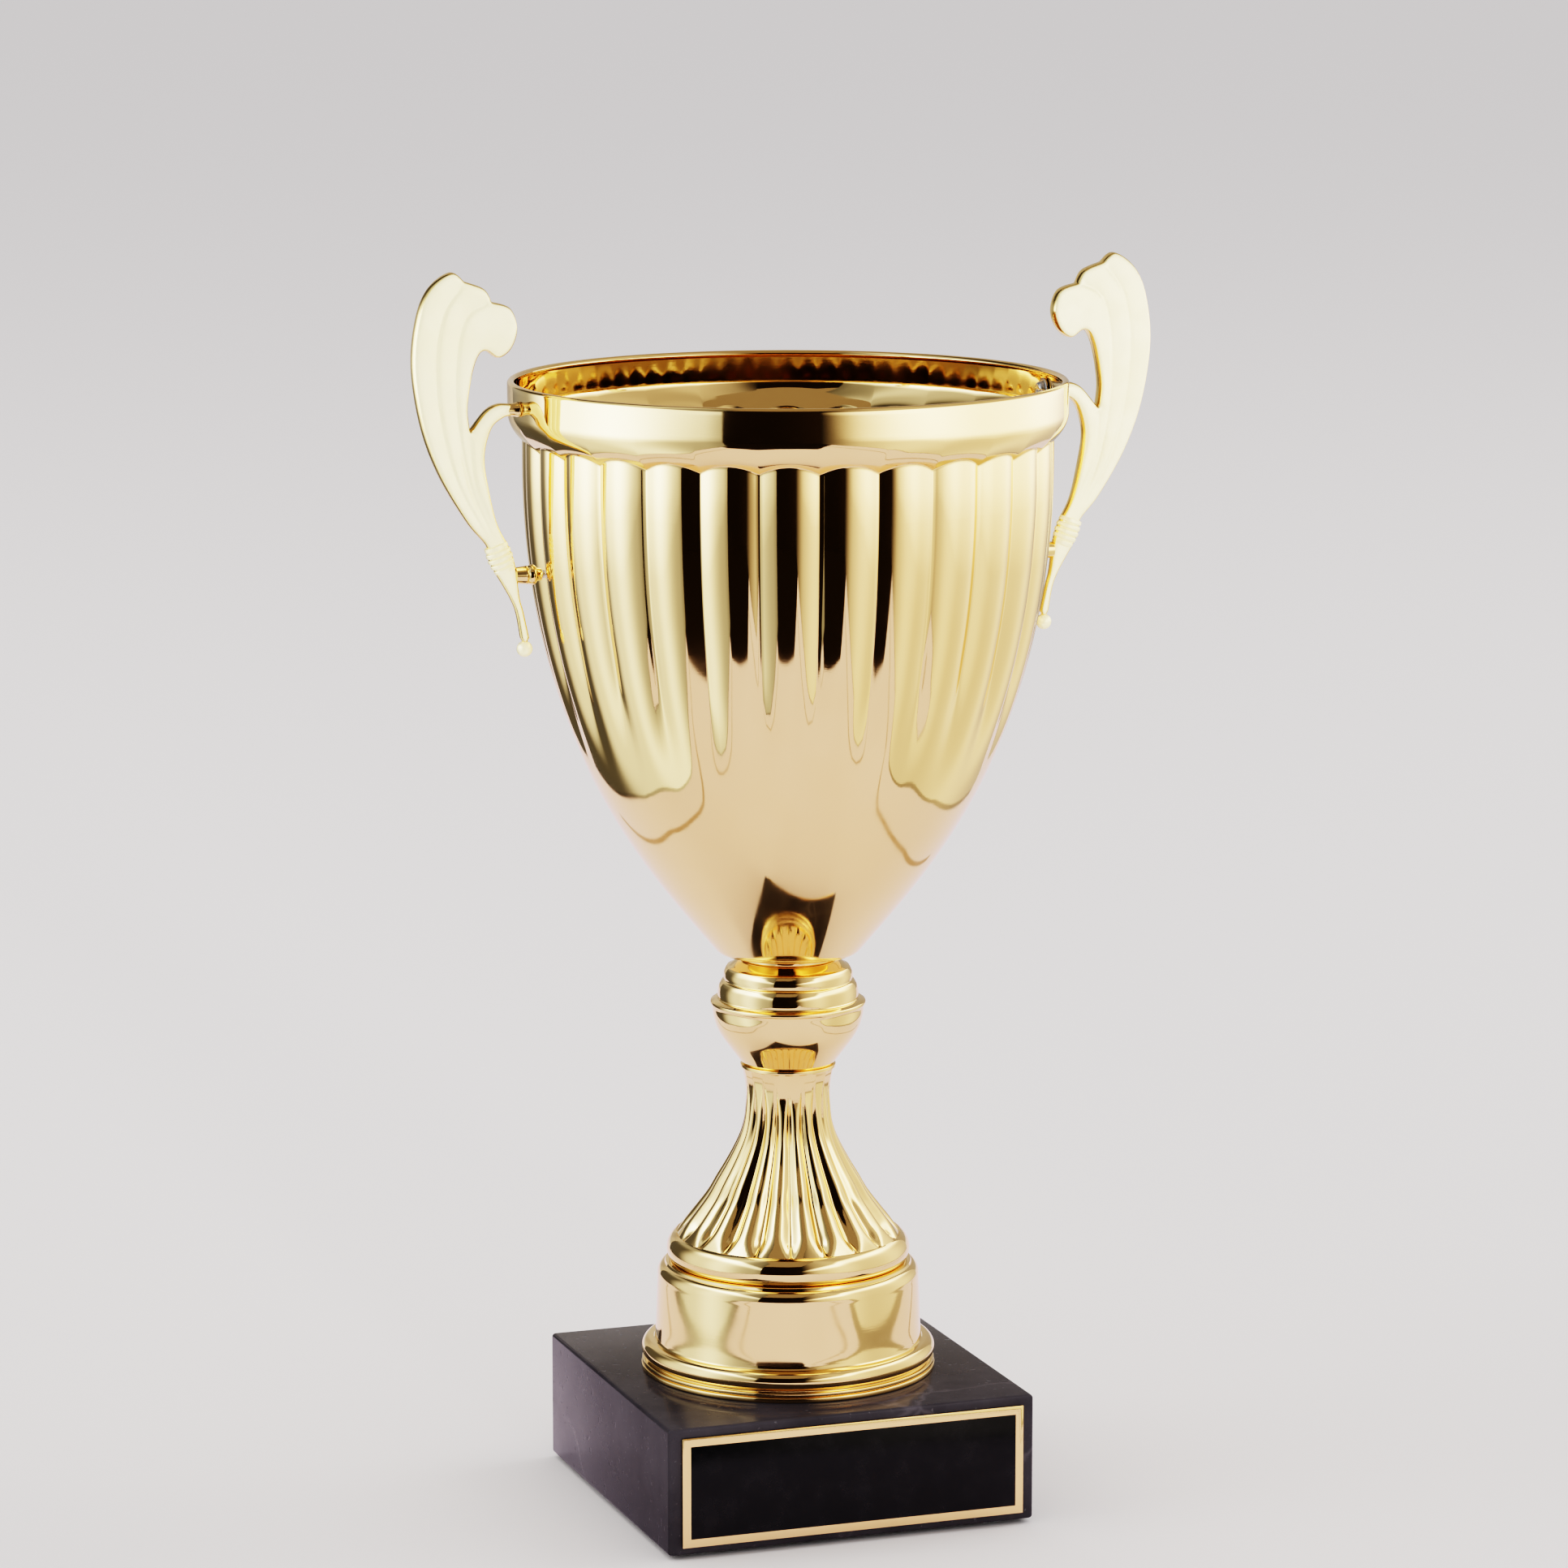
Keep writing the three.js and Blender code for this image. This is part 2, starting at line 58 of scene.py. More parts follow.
def node_box(node):
    """Lowest and highest corner of a CAD node, in millimetres."""
    low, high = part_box(node)
    return np.array(low) / MM, np.array(high) / MM


STONE_LOW, STONE_HIGH = node_box("marble_base")
STONE_TOP = STONE_HIGH[2]


# ---- Camera ----
CAMERA_DISTANCE = 1.3534
CAMERA_TURN = math.radians(-19.61)
CAMERA_HEIGHT = 0.41
CAMERA_PITCH = math.radians(-10.01)
CAMERA_HEADING = math.radians(-19.57)
CAMERA_LENS = 134.76


def link_new(name, data):
    """A new object with this mesh, light or camera, in the scene."""
    made = bpy.data.objects.new(name, data)
    bpy.context.collection.objects.link(made)
    return made


def make_camera():
    data = bpy.data.cameras.new("camera")
    data.sensor_width = 36
    data.lens = CAMERA_LENS
    data.clip_end = 100
    camera = link_new("camera", data)
    x = CAMERA_DISTANCE * math.sin(CAMERA_TURN)
    y = -CAMERA_DISTANCE * math.cos(CAMERA_TURN)
    camera.location = (x, y, CAMERA_HEIGHT)
    camera.rotation_euler = (math.pi / 2 + CAMERA_PITCH, 0, CAMERA_HEADING)
    bpy.context.scene.camera = camera


make_camera()


# ---- Curves and surfaces ----
def arc(centre, radius, start, end, steps):
    """Points of a round stretch of a profile, between two angles in degrees."""
    angles = np.radians(np.linspace(start, end, steps + 1))
    return [(centre[0] + radius * math.cos(a), centre[1] + radius * math.sin(a)) for a in angles]


def spline(points, steps):
    """Points along a smooth curve through a few points, with so many steps between each two of them."""
    knots = np.array([points[0], *points, points[-1]], float)
    t = np.linspace(0, 1, steps, endpoint=False)[:, None]
    curve = []
    for p0, p1, p2, p3 in zip(knots, knots[1:], knots[2:], knots[3:]):
        v1 = (p2 - p0) / 2
        v2 = (p3 - p1) / 2
        cubic = 2 * p1 - 2 * p2 + v1 + v2
        square = 3 * p2 - 3 * p1 - 2 * v1 - v2
        curve.extend(cubic * t**3 + square * t**2 + v1 * t + p1)
    curve.append(knots[-1])
    return [tuple(p) for p in curve]


def line(start, end, steps):
    """Evenly spaced points from start to end, without the end."""
    return [tuple(p) for p in np.linspace(start, end, steps, endpoint=False)]


def smoothstep(value, low, high):
    t = np.clip((value - low) / (high - low), 0, 1)
    return t * t * (3 - 2 * t)


def tube_faces(rows, columns):
    """Quads of a ring whose rows go round a closed section and whose columns go round the axis."""
    row, column = np.meshgrid(np.arange(rows), np.arange(columns), indexing="ij")
    above = (row + 1) % rows
    beside = (column + 1) % columns
    corners = [(row, column), (row, beside), (above, beside), (above, column)]
    return np.stack([r * columns + c for r, c in corners], axis=-1).reshape(-1, 4)


def polar(radius, angle, height):
    """Points from radii, angles and heights that broadcast together."""
    radius, angle, height = np.broadcast_arrays(radius, angle, height)
    return np.stack([radius * np.cos(angle), radius * np.sin(angle), height], axis=-1)


def turned(profile, sides):
    """Points, rows by columns, of a closed profile of (radius, height) turned about Z."""
    radius, height = np.array(profile, float).T
    angle = np.linspace(0, 2 * math.pi, sides, endpoint=False)
    return polar(radius[:, None], angle[None, :], height[:, None])


# ---- Pieces ----
def make_mesh(name, points, faces, sharp_angle=40):
    """A smooth-shaded mesh object from points in millimetres, with its sharp edges marked."""
    mesh = bpy.data.meshes.new(name)
    mesh.from_pydata((np.reshape(points, (-1, 3)) * MM).tolist(), [], [list(map(int, f)) for f in faces])
    mesh.polygons.foreach_set("use_smooth", np.ones(len(mesh.polygons), bool))
    mesh.set_sharp_from_angle(angle=math.radians(sharp_angle))
    mesh.validate()
    return link_new(name, mesh)


def from_bmesh(name, shape):
    """An object from a bmesh, which is freed."""
    mesh = bpy.data.meshes.new(name)
    shape.to_mesh(mesh)
    shape.free()
    return link_new(name, mesh)


def adopt(made, finish, *nodes):
    """Makes an object a piece of the trophy: its finish, its body and the CAD nodes that it stands for."""
    made.data.materials.clear()
    made.data.materials.append(MATERIALS[finish])
    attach(made, "root")
    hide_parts(*nodes)


def ring_piece(name, points, finish, *nodes, sharp_angle=40):
    """A piece from a ring of points, rows by columns, measured from the top of the stone."""
    rows, columns = points.shape[:2]
    made = make_mesh(name, points + (0, 0, STONE_TOP), tube_faces(rows, columns), sharp_angle)
    adopt(made, finish, *nodes)


def cut(made, cutter):
    """Cuts one object's shape out of another and removes the cutter."""
    modifier = made.modifiers.new("cut", "BOOLEAN")
    modifier.operation = "DIFFERENCE"
    modifier.solver = "EXACT"
    modifier.object = cutter
    bpy.context.view_layer.update()
    evaluated = made.evaluated_get(bpy.context.evaluated_depsgraph_get())
    result = bpy.data.meshes.new_from_object(evaluated)
    made.modifiers.clear()
    made.data = result
    bpy.data.objects.remove(cutter)


# ---- Materials ----
MATERIALS = {}


class Nodes:
    """A small helper that adds nodes to a material and links them."""

    def __init__(self, name, **sockets):
        self.material = bpy.data.materials.new(name)
        self.material.use_nodes = True
        self.tree = self.material.node_tree
        self.shader = self.tree.nodes["Principled BSDF"]
        for socket, value in sockets.items():
            self.shader.inputs[socket.replace("_", " ")].default_value = value
        self.place = self.add("TexCoord").outputs["Object"]
        MATERIALS[name] = self.material

    def add(self, kind, **sockets):
        """Adds a ShaderNode. A socket given another node's output is linked to it."""
        node = self.tree.nodes.new("ShaderNode" + kind)
        for socket, value in sockets.items():
            target = node.inputs[socket.replace("_", " ")]
            if isinstance(value, bpy.types.NodeSocket):
                self.tree.links.new(value, target)
            else:
                target.default_value = value
        return node

    def stretched(self, x, y, z):
        """The object's coordinates, scaled apart along each axis."""
        return self.add("Mapping", Vector=self.place, Scale=(x, y, z)).outputs["Vector"]

    def noise(self, scale, detail=4.0, roughness=0.5, place=None):
        where = place or self.place
        node = self.add("TexNoise", Vector=where, Scale=scale, Detail=detail, Roughness=roughness)
        return node.outputs["Fac"]

    def spread(self, value, low, high, to_low, to_high):
        """A value mapped from one range to another, smoothly and without overshooting."""
        node = self.add("MapRange", Value=value)
        node.interpolation_type = "SMOOTHSTEP"
        ends = {"From Min": low, "From Max": high, "To Min": to_low, "To Max": to_high}
        for socket, number in ends.items():
            node.inputs[socket].default_value = number
        return node.outputs["Result"]

    def blend(self, share, first, second):
        """A colour between two colours or two colour outputs."""
        node = self.tree.nodes.new("ShaderNodeMix")
        node.data_type = "RGBA"
        self.tree.links.new(share, node.inputs["Factor"])
        for socket, colour in zip([node.inputs[6], node.inputs[7]], [first, second]):
            if isinstance(colour, bpy.types.NodeSocket):
                self.tree.links.new(colour, socket)
            else:
                socket.default_value = (*colour, 1)
        return node.outputs[2]

    def times(self, first, second):
        """The product of two outputs."""
        node = self.add("Math")
        node.operation = "MULTIPLY"
        self.tree.links.new(first, node.inputs[0])
        self.tree.links.new(second, node.inputs[1])
        return node.outputs["Value"]

    def bump(self, height, strength, distance, normal=None):
        """A bump whose full height is distance, in metres. It can lie on top of another bump."""
        node = self.add("Bump", Height=height, Strength=strength, Distance=distance)
        if normal:
            self.tree.links.new(normal, node.inputs["Normal"])
        return node.outputs["Normal"]

    def drive(self, **outputs):
        """Links outputs to the shader's sockets."""
        for socket, output in outputs.items():
            self.tree.links.new(output, self.shader.inputs[socket.replace("_", " ")])


def gilt():
    """Bright gilt plating: a mirror with slight smears and very fine polishing marks."""
    m = Nodes("gilt", Metallic=1.0)
    tone = m.spread(m.noise(22, 3), 0.35, 0.65, 0, 1)
    m.drive(Base_Color=m.blend(tone, (0.955, 0.69, 0.34), (0.94, 0.665, 0.315)))
    smear = m.noise(60, 6, 0.6)
    m.drive(Roughness=m.spread(smear, 0.35, 0.75, 0.04, 0.10))
    marks = m.noise(420, 3, 0.6, m.stretched(1, 1, 9))
    ripple = m.noise(45, 2)
    soft = m.bump(ripple, 0.25, 0.00006)
    m.drive(Normal=m.bump(marks, 0.12, 0.00001, soft))


def satin_gilt():
    """Pale satin gilt on the cast handles, brighter and deeper gold along their rounded edges."""
    m = Nodes("satin_gilt")
    edge = m.add("Attribute")
    edge.attribute_name = "edge"
    share = edge.outputs["Fac"]
    tone = m.spread(m.noise(70, 4), 0.3, 0.7, 0, 1)
    face = m.blend(tone, (0.98, 0.875, 0.52), (0.97, 0.85, 0.475))
    m.drive(Base_Color=m.blend(share, face, (0.94, 0.69, 0.30)))
    m.drive(Metallic=m.spread(share, 0, 1, 0.35, 1.0))
    grain = m.noise(2600, 4, 0.7)
    rough = m.spread(m.noise(240, 5), 0.3, 0.7, 0.30, 0.42)
    polish = m.add("MapRange", Value=share, To_Min=1.0, To_Max=0.45)
    m.drive(Roughness=m.times(rough, polish.outputs["Result"]))
    cast = m.bump(m.noise(260, 4), 0.3, 0.00008)
    m.drive(Normal=m.bump(grain, 0.25, 0.00003, cast))


def marble():
    """Dark, faintly purple marble: cloudy, with thin pale veins, specks and a few pits in its polish."""
    m = Nodes("marble", IOR=1.52, Specular_IOR_Level=0.06)
    cloud = m.spread(m.noise(34, 7, 0.62), 0.3, 0.72, 0, 1)
    ground = m.blend(cloud, (0.034, 0.030, 0.034), (0.058, 0.052, 0.058))
    warp = m.add("TexNoise", Vector=m.place, Scale=26.0, Detail=5.0)
    bent = m.add("VectorMath")
    bent.operation = "MULTIPLY_ADD"
    m.tree.links.new(warp.outputs["Color"], bent.inputs[0])
    bent.inputs[1].default_value = (0.05, 0.05, 0.05)
    m.tree.links.new(m.place, bent.inputs[2])
    vein = m.add("TexVoronoi", Vector=bent.outputs["Vector"], Scale=24.0)
    vein.feature = "DISTANCE_TO_EDGE"
    thin = m.spread(vein.outputs["Distance"], 0.0, 0.03, 0.4, 0)
    patchy = m.spread(m.noise(16, 3), 0.48, 0.68, 0, 1)
    veined = m.blend(m.times(thin, patchy), ground, (0.14, 0.122, 0.136))
    speck = m.spread(m.noise(900, 2), 0.68, 0.76, 0, 0.4)
    m.drive(Base_Color=m.blend(speck, veined, (0.16, 0.145, 0.155)))
    pits = m.spread(m.noise(520, 3), 0.27, 0.36, 0, 1)
    m.drive(Roughness=m.spread(m.noise(120, 6), 0.3, 0.7, 0.08, 0.17))
    wave = m.bump(m.noise(90, 4), 0.12, 0.00010)
    m.drive(Normal=m.bump(pits, 0.5, 0.00008, wave))


def felt():
    m = Nodes("felt", Sheen_Weight=0.6, Sheen_Roughness=0.5)
    fibre = m.noise(2400, 6, 0.75)
    m.drive(Base_Color=m.blend(m.spread(fibre, 0.3, 0.7, 0, 1), (0.012, 0.013, 0.015), (0.05, 0.052, 0.058)))
    m.drive(Roughness=m.spread(fibre, 0.3, 0.7, 0.85, 1.0), Normal=m.bump(fibre, 0.8, 0.0003))


def lacquer():
    """Black gloss lacquer with a trace of orange peel and dust."""
    m = Nodes("lacquer", IOR=1.5, Specular_IOR_Level=0.25)
    haze = m.noise(130, 6, 0.6)
    m.drive(Base_Color=m.blend(m.spread(haze, 0.4, 0.8, 0, 1), (0.004, 0.004, 0.0045), (0.012, 0.011, 0.012)))
    m.drive(Roughness=m.spread(haze, 0.3, 0.7, 0.10, 0.24), Normal=m.bump(m.noise(700, 2), 0.1, 0.00003))


def tape():
    """White foam tape: open pores on its cut edge, with painted shade that darkens the colour inside each
    pore.
    """
    m = Nodes("tape")
    cells = m.add("TexVoronoi", Vector=m.place, Scale=3200.0)
    pores_and_shade = m.spread(cells.outputs["Distance"], 0.1, 0.6, 0, 1)
    # Painted shade: the colour is darker inside each pore, where shade falls in the hollow; the same pattern
    # also drives the real pore bump.
    m.drive(Base_Color=m.blend(pores_and_shade, (0.55, 0.55, 0.52), (0.82, 0.82, 0.79)))
    m.drive(Roughness=m.spread(m.noise(900), 0.3, 0.7, 0.7, 0.95), Normal=m.bump(pores_and_shade, 0.6, 0.0001))


def zinc():
    """Bright zinc on steel: bluish, with the cloudy spangle and marks of tumbled hardware."""
    m = Nodes("zinc", Metallic=1.0)
    cells = m.add("TexVoronoi", Vector=m.place, Scale=420.0)
    spangle = m.spread(cells.outputs["Distance"], 0.1, 0.7, 0, 1)
    m.drive(Base_Color=m.blend(spangle, (0.60, 0.61, 0.64), (0.74, 0.745, 0.75)))
    m.drive(Roughness=m.spread(m.noise(600, 5, 0.7), 0.3, 0.7, 0.22, 0.42))
    m.drive(Normal=m.bump(m.noise(1800, 4, 0.7), 0.3, 0.00003))


for make_material in (gilt, satin_gilt, marble, felt, lacquer, tape, zinc):
    make_material()


# ---- Bowl ----
GADROONS = 28
GADROON_DEPTH = 1.6
COLUMNS_PER_GADROON = 12
BOWL_FLOOR = 100.3
BOWL_RADIUS = 61.7
BOWL_WALL = 0.8
BAND_RADIUS = 65.0
RIM_TOP = 235.5
RIM_BEAD = 0.9
ROD_HOLE_RADIUS = 3.3
SCREW_HOLE_RADIUS = 1.2
ARM_HEIGHT = 230.6
POST_HEIGHT = 192.5
SHOULDER_TOP = 228.2
SHOULDER_FOOT = 222.1
SHOULDER_DIP = 1.8
WALL_CURVE = np.array([(17.2, 101.2), (31, 118), (BOWL_RADIUS, 149), (BOWL_RADIUS, 216)])


def bezier(controls, steps):
    t = np.linspace(0, 1, steps + 1)[:, None]
    a, b, c, d = controls
    return a * (1 - t) ** 3 + 3 * b * t * (1 - t) ** 2 + 3 * c * t**2 * (1 - t) + d * t**3


def rib_section(across, half_angle, softness):
    """Depth of a round rib below its crest, from 0 on the crest to 1 in the valley at across = -1 or 1.

    The softness rounds the bottom of the valley.
    """
    distance = 1 - np.abs(across)
    reach = np.sqrt(1 + softness**2) - softness
    eased = 1 - (np.sqrt(distance**2 + softness**2) - softness) / reach
    tilt = np.arcsin(np.clip(eased, -1, 1) * math.sin(half_angle))
    return (1 - np.cos(tilt)) / (1 - math.cos(half_angle))


def rib_columns(ribs, columns_per_rib):
    """Angles of the columns of a ribbed skin and where each lies across its rib, closer near the valleys."""
    step = np.linspace(-1, 1, columns_per_rib, endpoint=False)
    across = np.sin(step * math.pi / 2)
    angle = [(rib + 0.5 + across / 2) * 2 * math.pi / ribs for rib in range(ribs)]
    return np.concatenate(angle), np.tile(across, ribs)


def ripple(angle, height, size, waves=6):
    """A slight unevenness of pressed sheet: a few long waves of random direction and phase."""
    total = 0
    for _ in range(waves):
        around = random.integers(2, 9)
        up = random.uniform(-0.12, 0.12)
        phase = random.uniform(0, 2 * math.pi)
        total = total + np.sin(around * angle + up * height + phase)
    return size * total / waves


def wall_radius(height):
    curve = bezier(WALL_CURVE, 200)
    return np.interp(height, curve[:, 1], curve[:, 0])


def bowl():
    angle, across = rib_columns(GADROONS, COLUMNS_PER_GADROON)
    crisp = rib_section(across, math.radians(33), 0.05)

    def gadroon_radius(height):
        """Round fingers, crisp at the top, whose valleys open out and fade towards the lower bowl."""
        softness = 0.05 + 0.8 * (1 - smoothstep(height, 145, 172))
        rise = smoothstep(height, 141, 178)
        return wall_radius(height) - GADROON_DEPTH * rise * rib_section(across, math.radians(33), softness)

    # Height at which the shoulder meets the gadroons on each column.
    meeting = SHOULDER_FOOT - SHOULDER_DIP * crisp
    deepest = BAND_RADIUS - BOWL_RADIUS + GADROON_DEPTH * crisp

    def shoulder_radius(height):
        left = (SHOULDER_TOP - height) / (SHOULDER_TOP - meeting)
        return BAND_RADIUS - deepest * np.clip(left, 0, None) ** 2

    wall_heights = bezier(WALL_CURVE, 110)[:, 1]
    foot = 209.0
    rows = [np.full_like(angle, h) for h in wall_heights[wall_heights < foot]]
    rows += [foot + (meeting - foot) * (1 - (1 - t) ** 2.2) for t in np.linspace(0, 1, 12, endpoint=False)]
    rows += [meeting + (SHOULDER_TOP - meeting) * t**1.5 for t in np.linspace(0, 1, 24)]
    rows += [np.full_like(angle, h) for h in np.linspace(SHOULDER_TOP, RIM_TOP - RIM_BEAD, 9)[1:]]
    height = np.array(rows)
    soft = 0.07
    ribs = gadroon_radius(height)
    radius = np.where(height > foot, soft * np.logaddexp(ribs / soft, shoulder_radius(height) / soft), ribs)
    radius = np.minimum(radius, BAND_RADIUS)
    calm = smoothstep(height, 101, 120) * (1 - smoothstep(height, 229, 234))
    radius = radius - np.abs(ripple(angle, height, 0.05)) * calm
    outside = polar(radius, angle, height)

    around = np.roll(outside, -1, axis=1) - np.roll(outside, 1, axis=1)
    upward = np.gradient(outside, axis=0)
    normal = np.cross(around, upward)
    normal /= np.linalg.norm(normal, axis=2, keepdims=True)
    inside = (outside - BOWL_WALL * normal)[::-1][1:]

    bead = arc((BAND_RADIUS - RIM_BEAD, RIM_TOP - RIM_BEAD), RIM_BEAD, 0, 200, 16)[1:]
    floor_outside = [(ROD_HOLE_RADIUS, BOWL_FLOOR), *line((6, BOWL_FLOOR), (15.4, BOWL_FLOOR), 4)]
    floor_outside += arc((15.6, BOWL_FLOOR + 1.6), 1.6, -90, -40, 5)[:-1]
    floor_inside = line((14.2, BOWL_FLOOR + BOWL_WALL), (ROD_HOLE_RADIUS, BOWL_FLOOR + BOWL_WALL), 5)
    floor_inside += [(ROD_HOLE_RADIUS, BOWL_FLOOR + BOWL_WALL)]

    def plain(profile):
        r, z = np.array(profile).T
        return polar(r[:, None], angle[None, :], z[:, None])

    skin = np.concatenate([plain(floor_outside), outside, plain(bead), inside, plain(floor_inside)])
    ring_piece("bowl_shell", skin, "gilt", "bowl", sharp_angle=60)


# ---- Stem ----
DRUM_TOP = 26.0
DRUM_RADIUS = 31.0
DRUM_WALL = 0.9
COLUMN_TOP = 73.5
COLUMN_RIBS = 20
KNOB_SEAM = 89.3
KNOB_TOP = 98.5
NECK_RADIUS = 11.2
SIDES = 192


def foot_drum():
    """A drum on a foot of two thin steps and a round bead, closed by a plate inside its rolled top edge."""
    inside = DRUM_RADIUS - DRUM_WALL
    profile = [
        (inside + 1, 0),
        (34.4, 0),
        *arc((34.55, 0.35), 0.35, -80, 0, 4),
        *arc((34.55, 0.85), 0.35, 0, 80, 4),
        (34.3, 1.25),
        *arc((34.4, 1.6), 0.3, -60, 0, 3),
        *arc((34.4, 2.0), 0.3, 0, 80, 4),
        (33.8, 2.42),
        *arc((32.5, 4.7), 2.35, -56, 88, 26),
        (31.95, 7.12),
        (31.72, 7.35),
        *spline([(31.66, 7.8), (31.45, 10.5), (31.2, 17), (DRUM_RADIUS, 22.4)], 6),
        *arc((DRUM_RADIUS - 2.7, 22.9), 2.7, 2, 68, 16),
        (29.22, 25.62),
        (29.06, 25.94),
        (28.9, DRUM_TOP),
        *line((28.2, DRUM_TOP), (ROD_HOLE_RADIUS, DRUM_TOP), 8),
        (ROD_HOLE_RADIUS, DRUM_TOP),
        (ROD_HOLE_RADIUS, DRUM_TOP - DRUM_WALL),
        *line((28.0, DRUM_TOP - DRUM_WALL), (inside, 22.6), 3),
        *line((inside, 22.6), (inside, 3), 5),
        (inside, 3),
    ]
    ring_piece("foot_drum_shell", turned(profile, SIDES), "gilt", "foot_drum", sharp_angle=30)


def column():
    """A spreading column whose flutes end in arches on the foot bead and in points under a facetted neck."""
    angle, across = rib_columns(COLUMN_RIBS, 16)
    section = rib_section(across, math.radians(42), 0.28)[None, :]
    crest = spline(
        [(26.4, 32.35), (24.5, 35.1), (21.7, 38.7), (19.1, 42.2), (17.1, 45.7), (15, 49.2), (13.1, 52.7),
         (11.5, 56.2), (10.5, 59.7), (10.1, 63.2), (10, 66.7), (10.35, 70.2), (10.95, 72.6)], 8)
    bead = [(27.4, DRUM_TOP), *arc((24.6, 28.9), 4.2, -41, 60, 26)]
    flange = [*arc((11.15, 72.8), 0.12, -90, 0, 3), *arc((11.15, 73.35), 0.13, 0, 90, 3)]
    inner = [(ROD_HOLE_RADIUS, COLUMN_TOP), (ROD_HOLE_RADIUS, 60), (5.5, 58), (20, 30), (22, DRUM_TOP)]
    radius, height = np.array(bead + crest + flange + inner).T[:, :, None]
    ribbed = np.zeros(len(radius), bool)
    ribbed[len(bead) : len(bead) + len(crest)] = True
    full = 0.95 + 1.15 * smoothstep(radius, 10, 24)
    flank = 2.6 * (1 - section)
    run_out = smoothstep(height - flank, 31.4, 35.0) * (1 - smoothstep(height + 2 * flank, 60, 72))
    facet = (radius + 0.03 - 0.17 * smoothstep(height, 62, 68)) / np.cos(across * math.pi / COLUMN_RIBS)
    ribs = np.minimum(radius - full * section * run_out, facet)
    radius = np.where(ribbed[:, None], ribs, radius)
    ring_piece("column_shell", polar(radius, angle, height), "gilt", "column", sharp_angle=60)


def knob_lower():
    profile = [
        (ROD_HOLE_RADIUS, COLUMN_TOP),
        (10.6, COLUMN_TOP),
        *spline([(10.8, COLUMN_TOP + 0.1), (11.9, 75.1), (13.8, 77.6), (15.6, 80.1), (16.9, 82.6),
                 (17.65, 85.2), (17.9, 87.2)], 7),
        *arc((17.75, 88.25), 0.6, -60, 60, 9),
        (17.6, 89.0),
        (17.0, KNOB_SEAM - 0.02),
        (15.6, KNOB_SEAM - 0.05),
        *spline([(15.4, 84), (12, 77), (9, 75.4)], 6),
        (ROD_HOLE_RADIUS, 75.4),
    ]
    ring_piece("knob_cup", turned(profile, SIDES), "gilt", "knob_lower", sharp_angle=35)


def knob_upper():
    """Two round tiers with shallow grooves between them, under a low cone."""
    profile = [
        (14.8, KNOB_SEAM),
        (16.7, KNOB_SEAM),
        *spline([(16.55, 89.5), (16.6, 90.1), (16.55, 91.2), (16.3, 92.3), (15.8, 93.2)], 5),
        *spline([(15.45, 93.6), (15.22, 93.72), (15.16, 93.9), (15.26, 94.6), (15.16, 95.5),
                 (14.75, 96.4)], 5),
        *arc((14.2, 96.55), 0.35, 30, 80, 4),
        *line((13.9, 96.98), (12.1, KNOB_TOP - 0.12), 5),
        *arc((11.9, KNOB_TOP - 0.25), 0.25, 40, 90, 3),
        (ROD_HOLE_RADIUS, KNOB_TOP),
        (ROD_HOLE_RADIUS, KNOB_TOP - 1.2),
        (11.6, KNOB_TOP - 1.2),
        (13.4, 95.4),
        (14, 93.6),
        (14.6, 91),
    ]
    ring_piece("knob_dome", turned(profile, SIDES), "gilt", "knob_upper", sharp_angle=35)


def neck_collar():
    low, high = node_box("neck_collar") - np.array((0, 0, STONE_TOP))
    edge = 0.4
    profile = [
        (ROD_HOLE_RADIUS, low[2]),
        *arc((NECK_RADIUS - edge, low[2] + edge), edge, -90, 0, 5),
        *arc((NECK_RADIUS - edge, high[2] - edge), edge, 0, 90, 5),
        (ROD_HOLE_RADIUS, high[2]),
    ]
    ring_piece("neck_disc", turned(profile, SIDES), "gilt", "neck_collar", sharp_angle=50)


# ---- Handles ----
HANDLE_THICKNESS = 4.0
STEP_DEPTH = 0.36
COLLAR_CENTRE = (69.8, 0, 196.6)
COLLAR_AXIS = (2.1, 0, 5.5)
COLLAR_SQUASH = 0.76
COLLAR_GROOVES = (-2.1, -0.7, 0.7, 2.1)
GROOVE_DEPTH = 0.5
GROOVE_WIDTH = 0.2
BALL_CENTRE = (64.2, 0, 175.4)
BALL_RADIUS = 1.85
HANDLE_OUTLINE = [
    [(78, 260.2), (81.2, 262.3), (86.3, 258.7), (89.2, 252), (90.4, 241), (88.4, 227.5), (84.2, 216),
     (77.8, 205.2), (73.2, 199.6), (72.7, 196.6), (71.2, 193.4), (69.4, 190.4), (67.5, 187), (66.2, 183.6),
     (65.2, 178)],
    [(65.2, 178), (64.2, 176.6), (63.2, 178)],
    [(63.2, 178), (64.5, 184), (65.4, 187.4), (66.2, 193.6), (66.9, 196.6), (68.2, 199.8), (70.8, 205),
     (72.9, 214), (73.5, 220.7), (71.8, 226.6), (69, 228.9), (67.2, 229.2)],
    [(67.2, 229.2), (67.2, 232)],
    [(67.2, 232), (70.4, 232.1), (73.4, 230.5), (77, 226.1)],
    [(77, 226.1), (77.5, 231.5), (76.5, 238.4), (75, 243), (73.2, 244.3), (70.2, 242.6), (67.1, 244.6),
     (65.6, 249.1), (67.2, 253.8), (71.6, 255.4)],
    [(71.6, 255.4), (73.4, 258.4), (78, 260.2)],
]
HANDLE_LINES = [
    [(78.3, 259.4), (82.8, 253.2), (84.8, 243), (84, 229.5), (80.2, 214.8), (73.4, 202)],
    [(72.6, 255), (77.4, 252.3), (79.8, 244), (80, 230), (77.2, 214), (72, 202)],
    [(77.1, 225), (75.8, 213.5), (70.8, 202.4)],
]


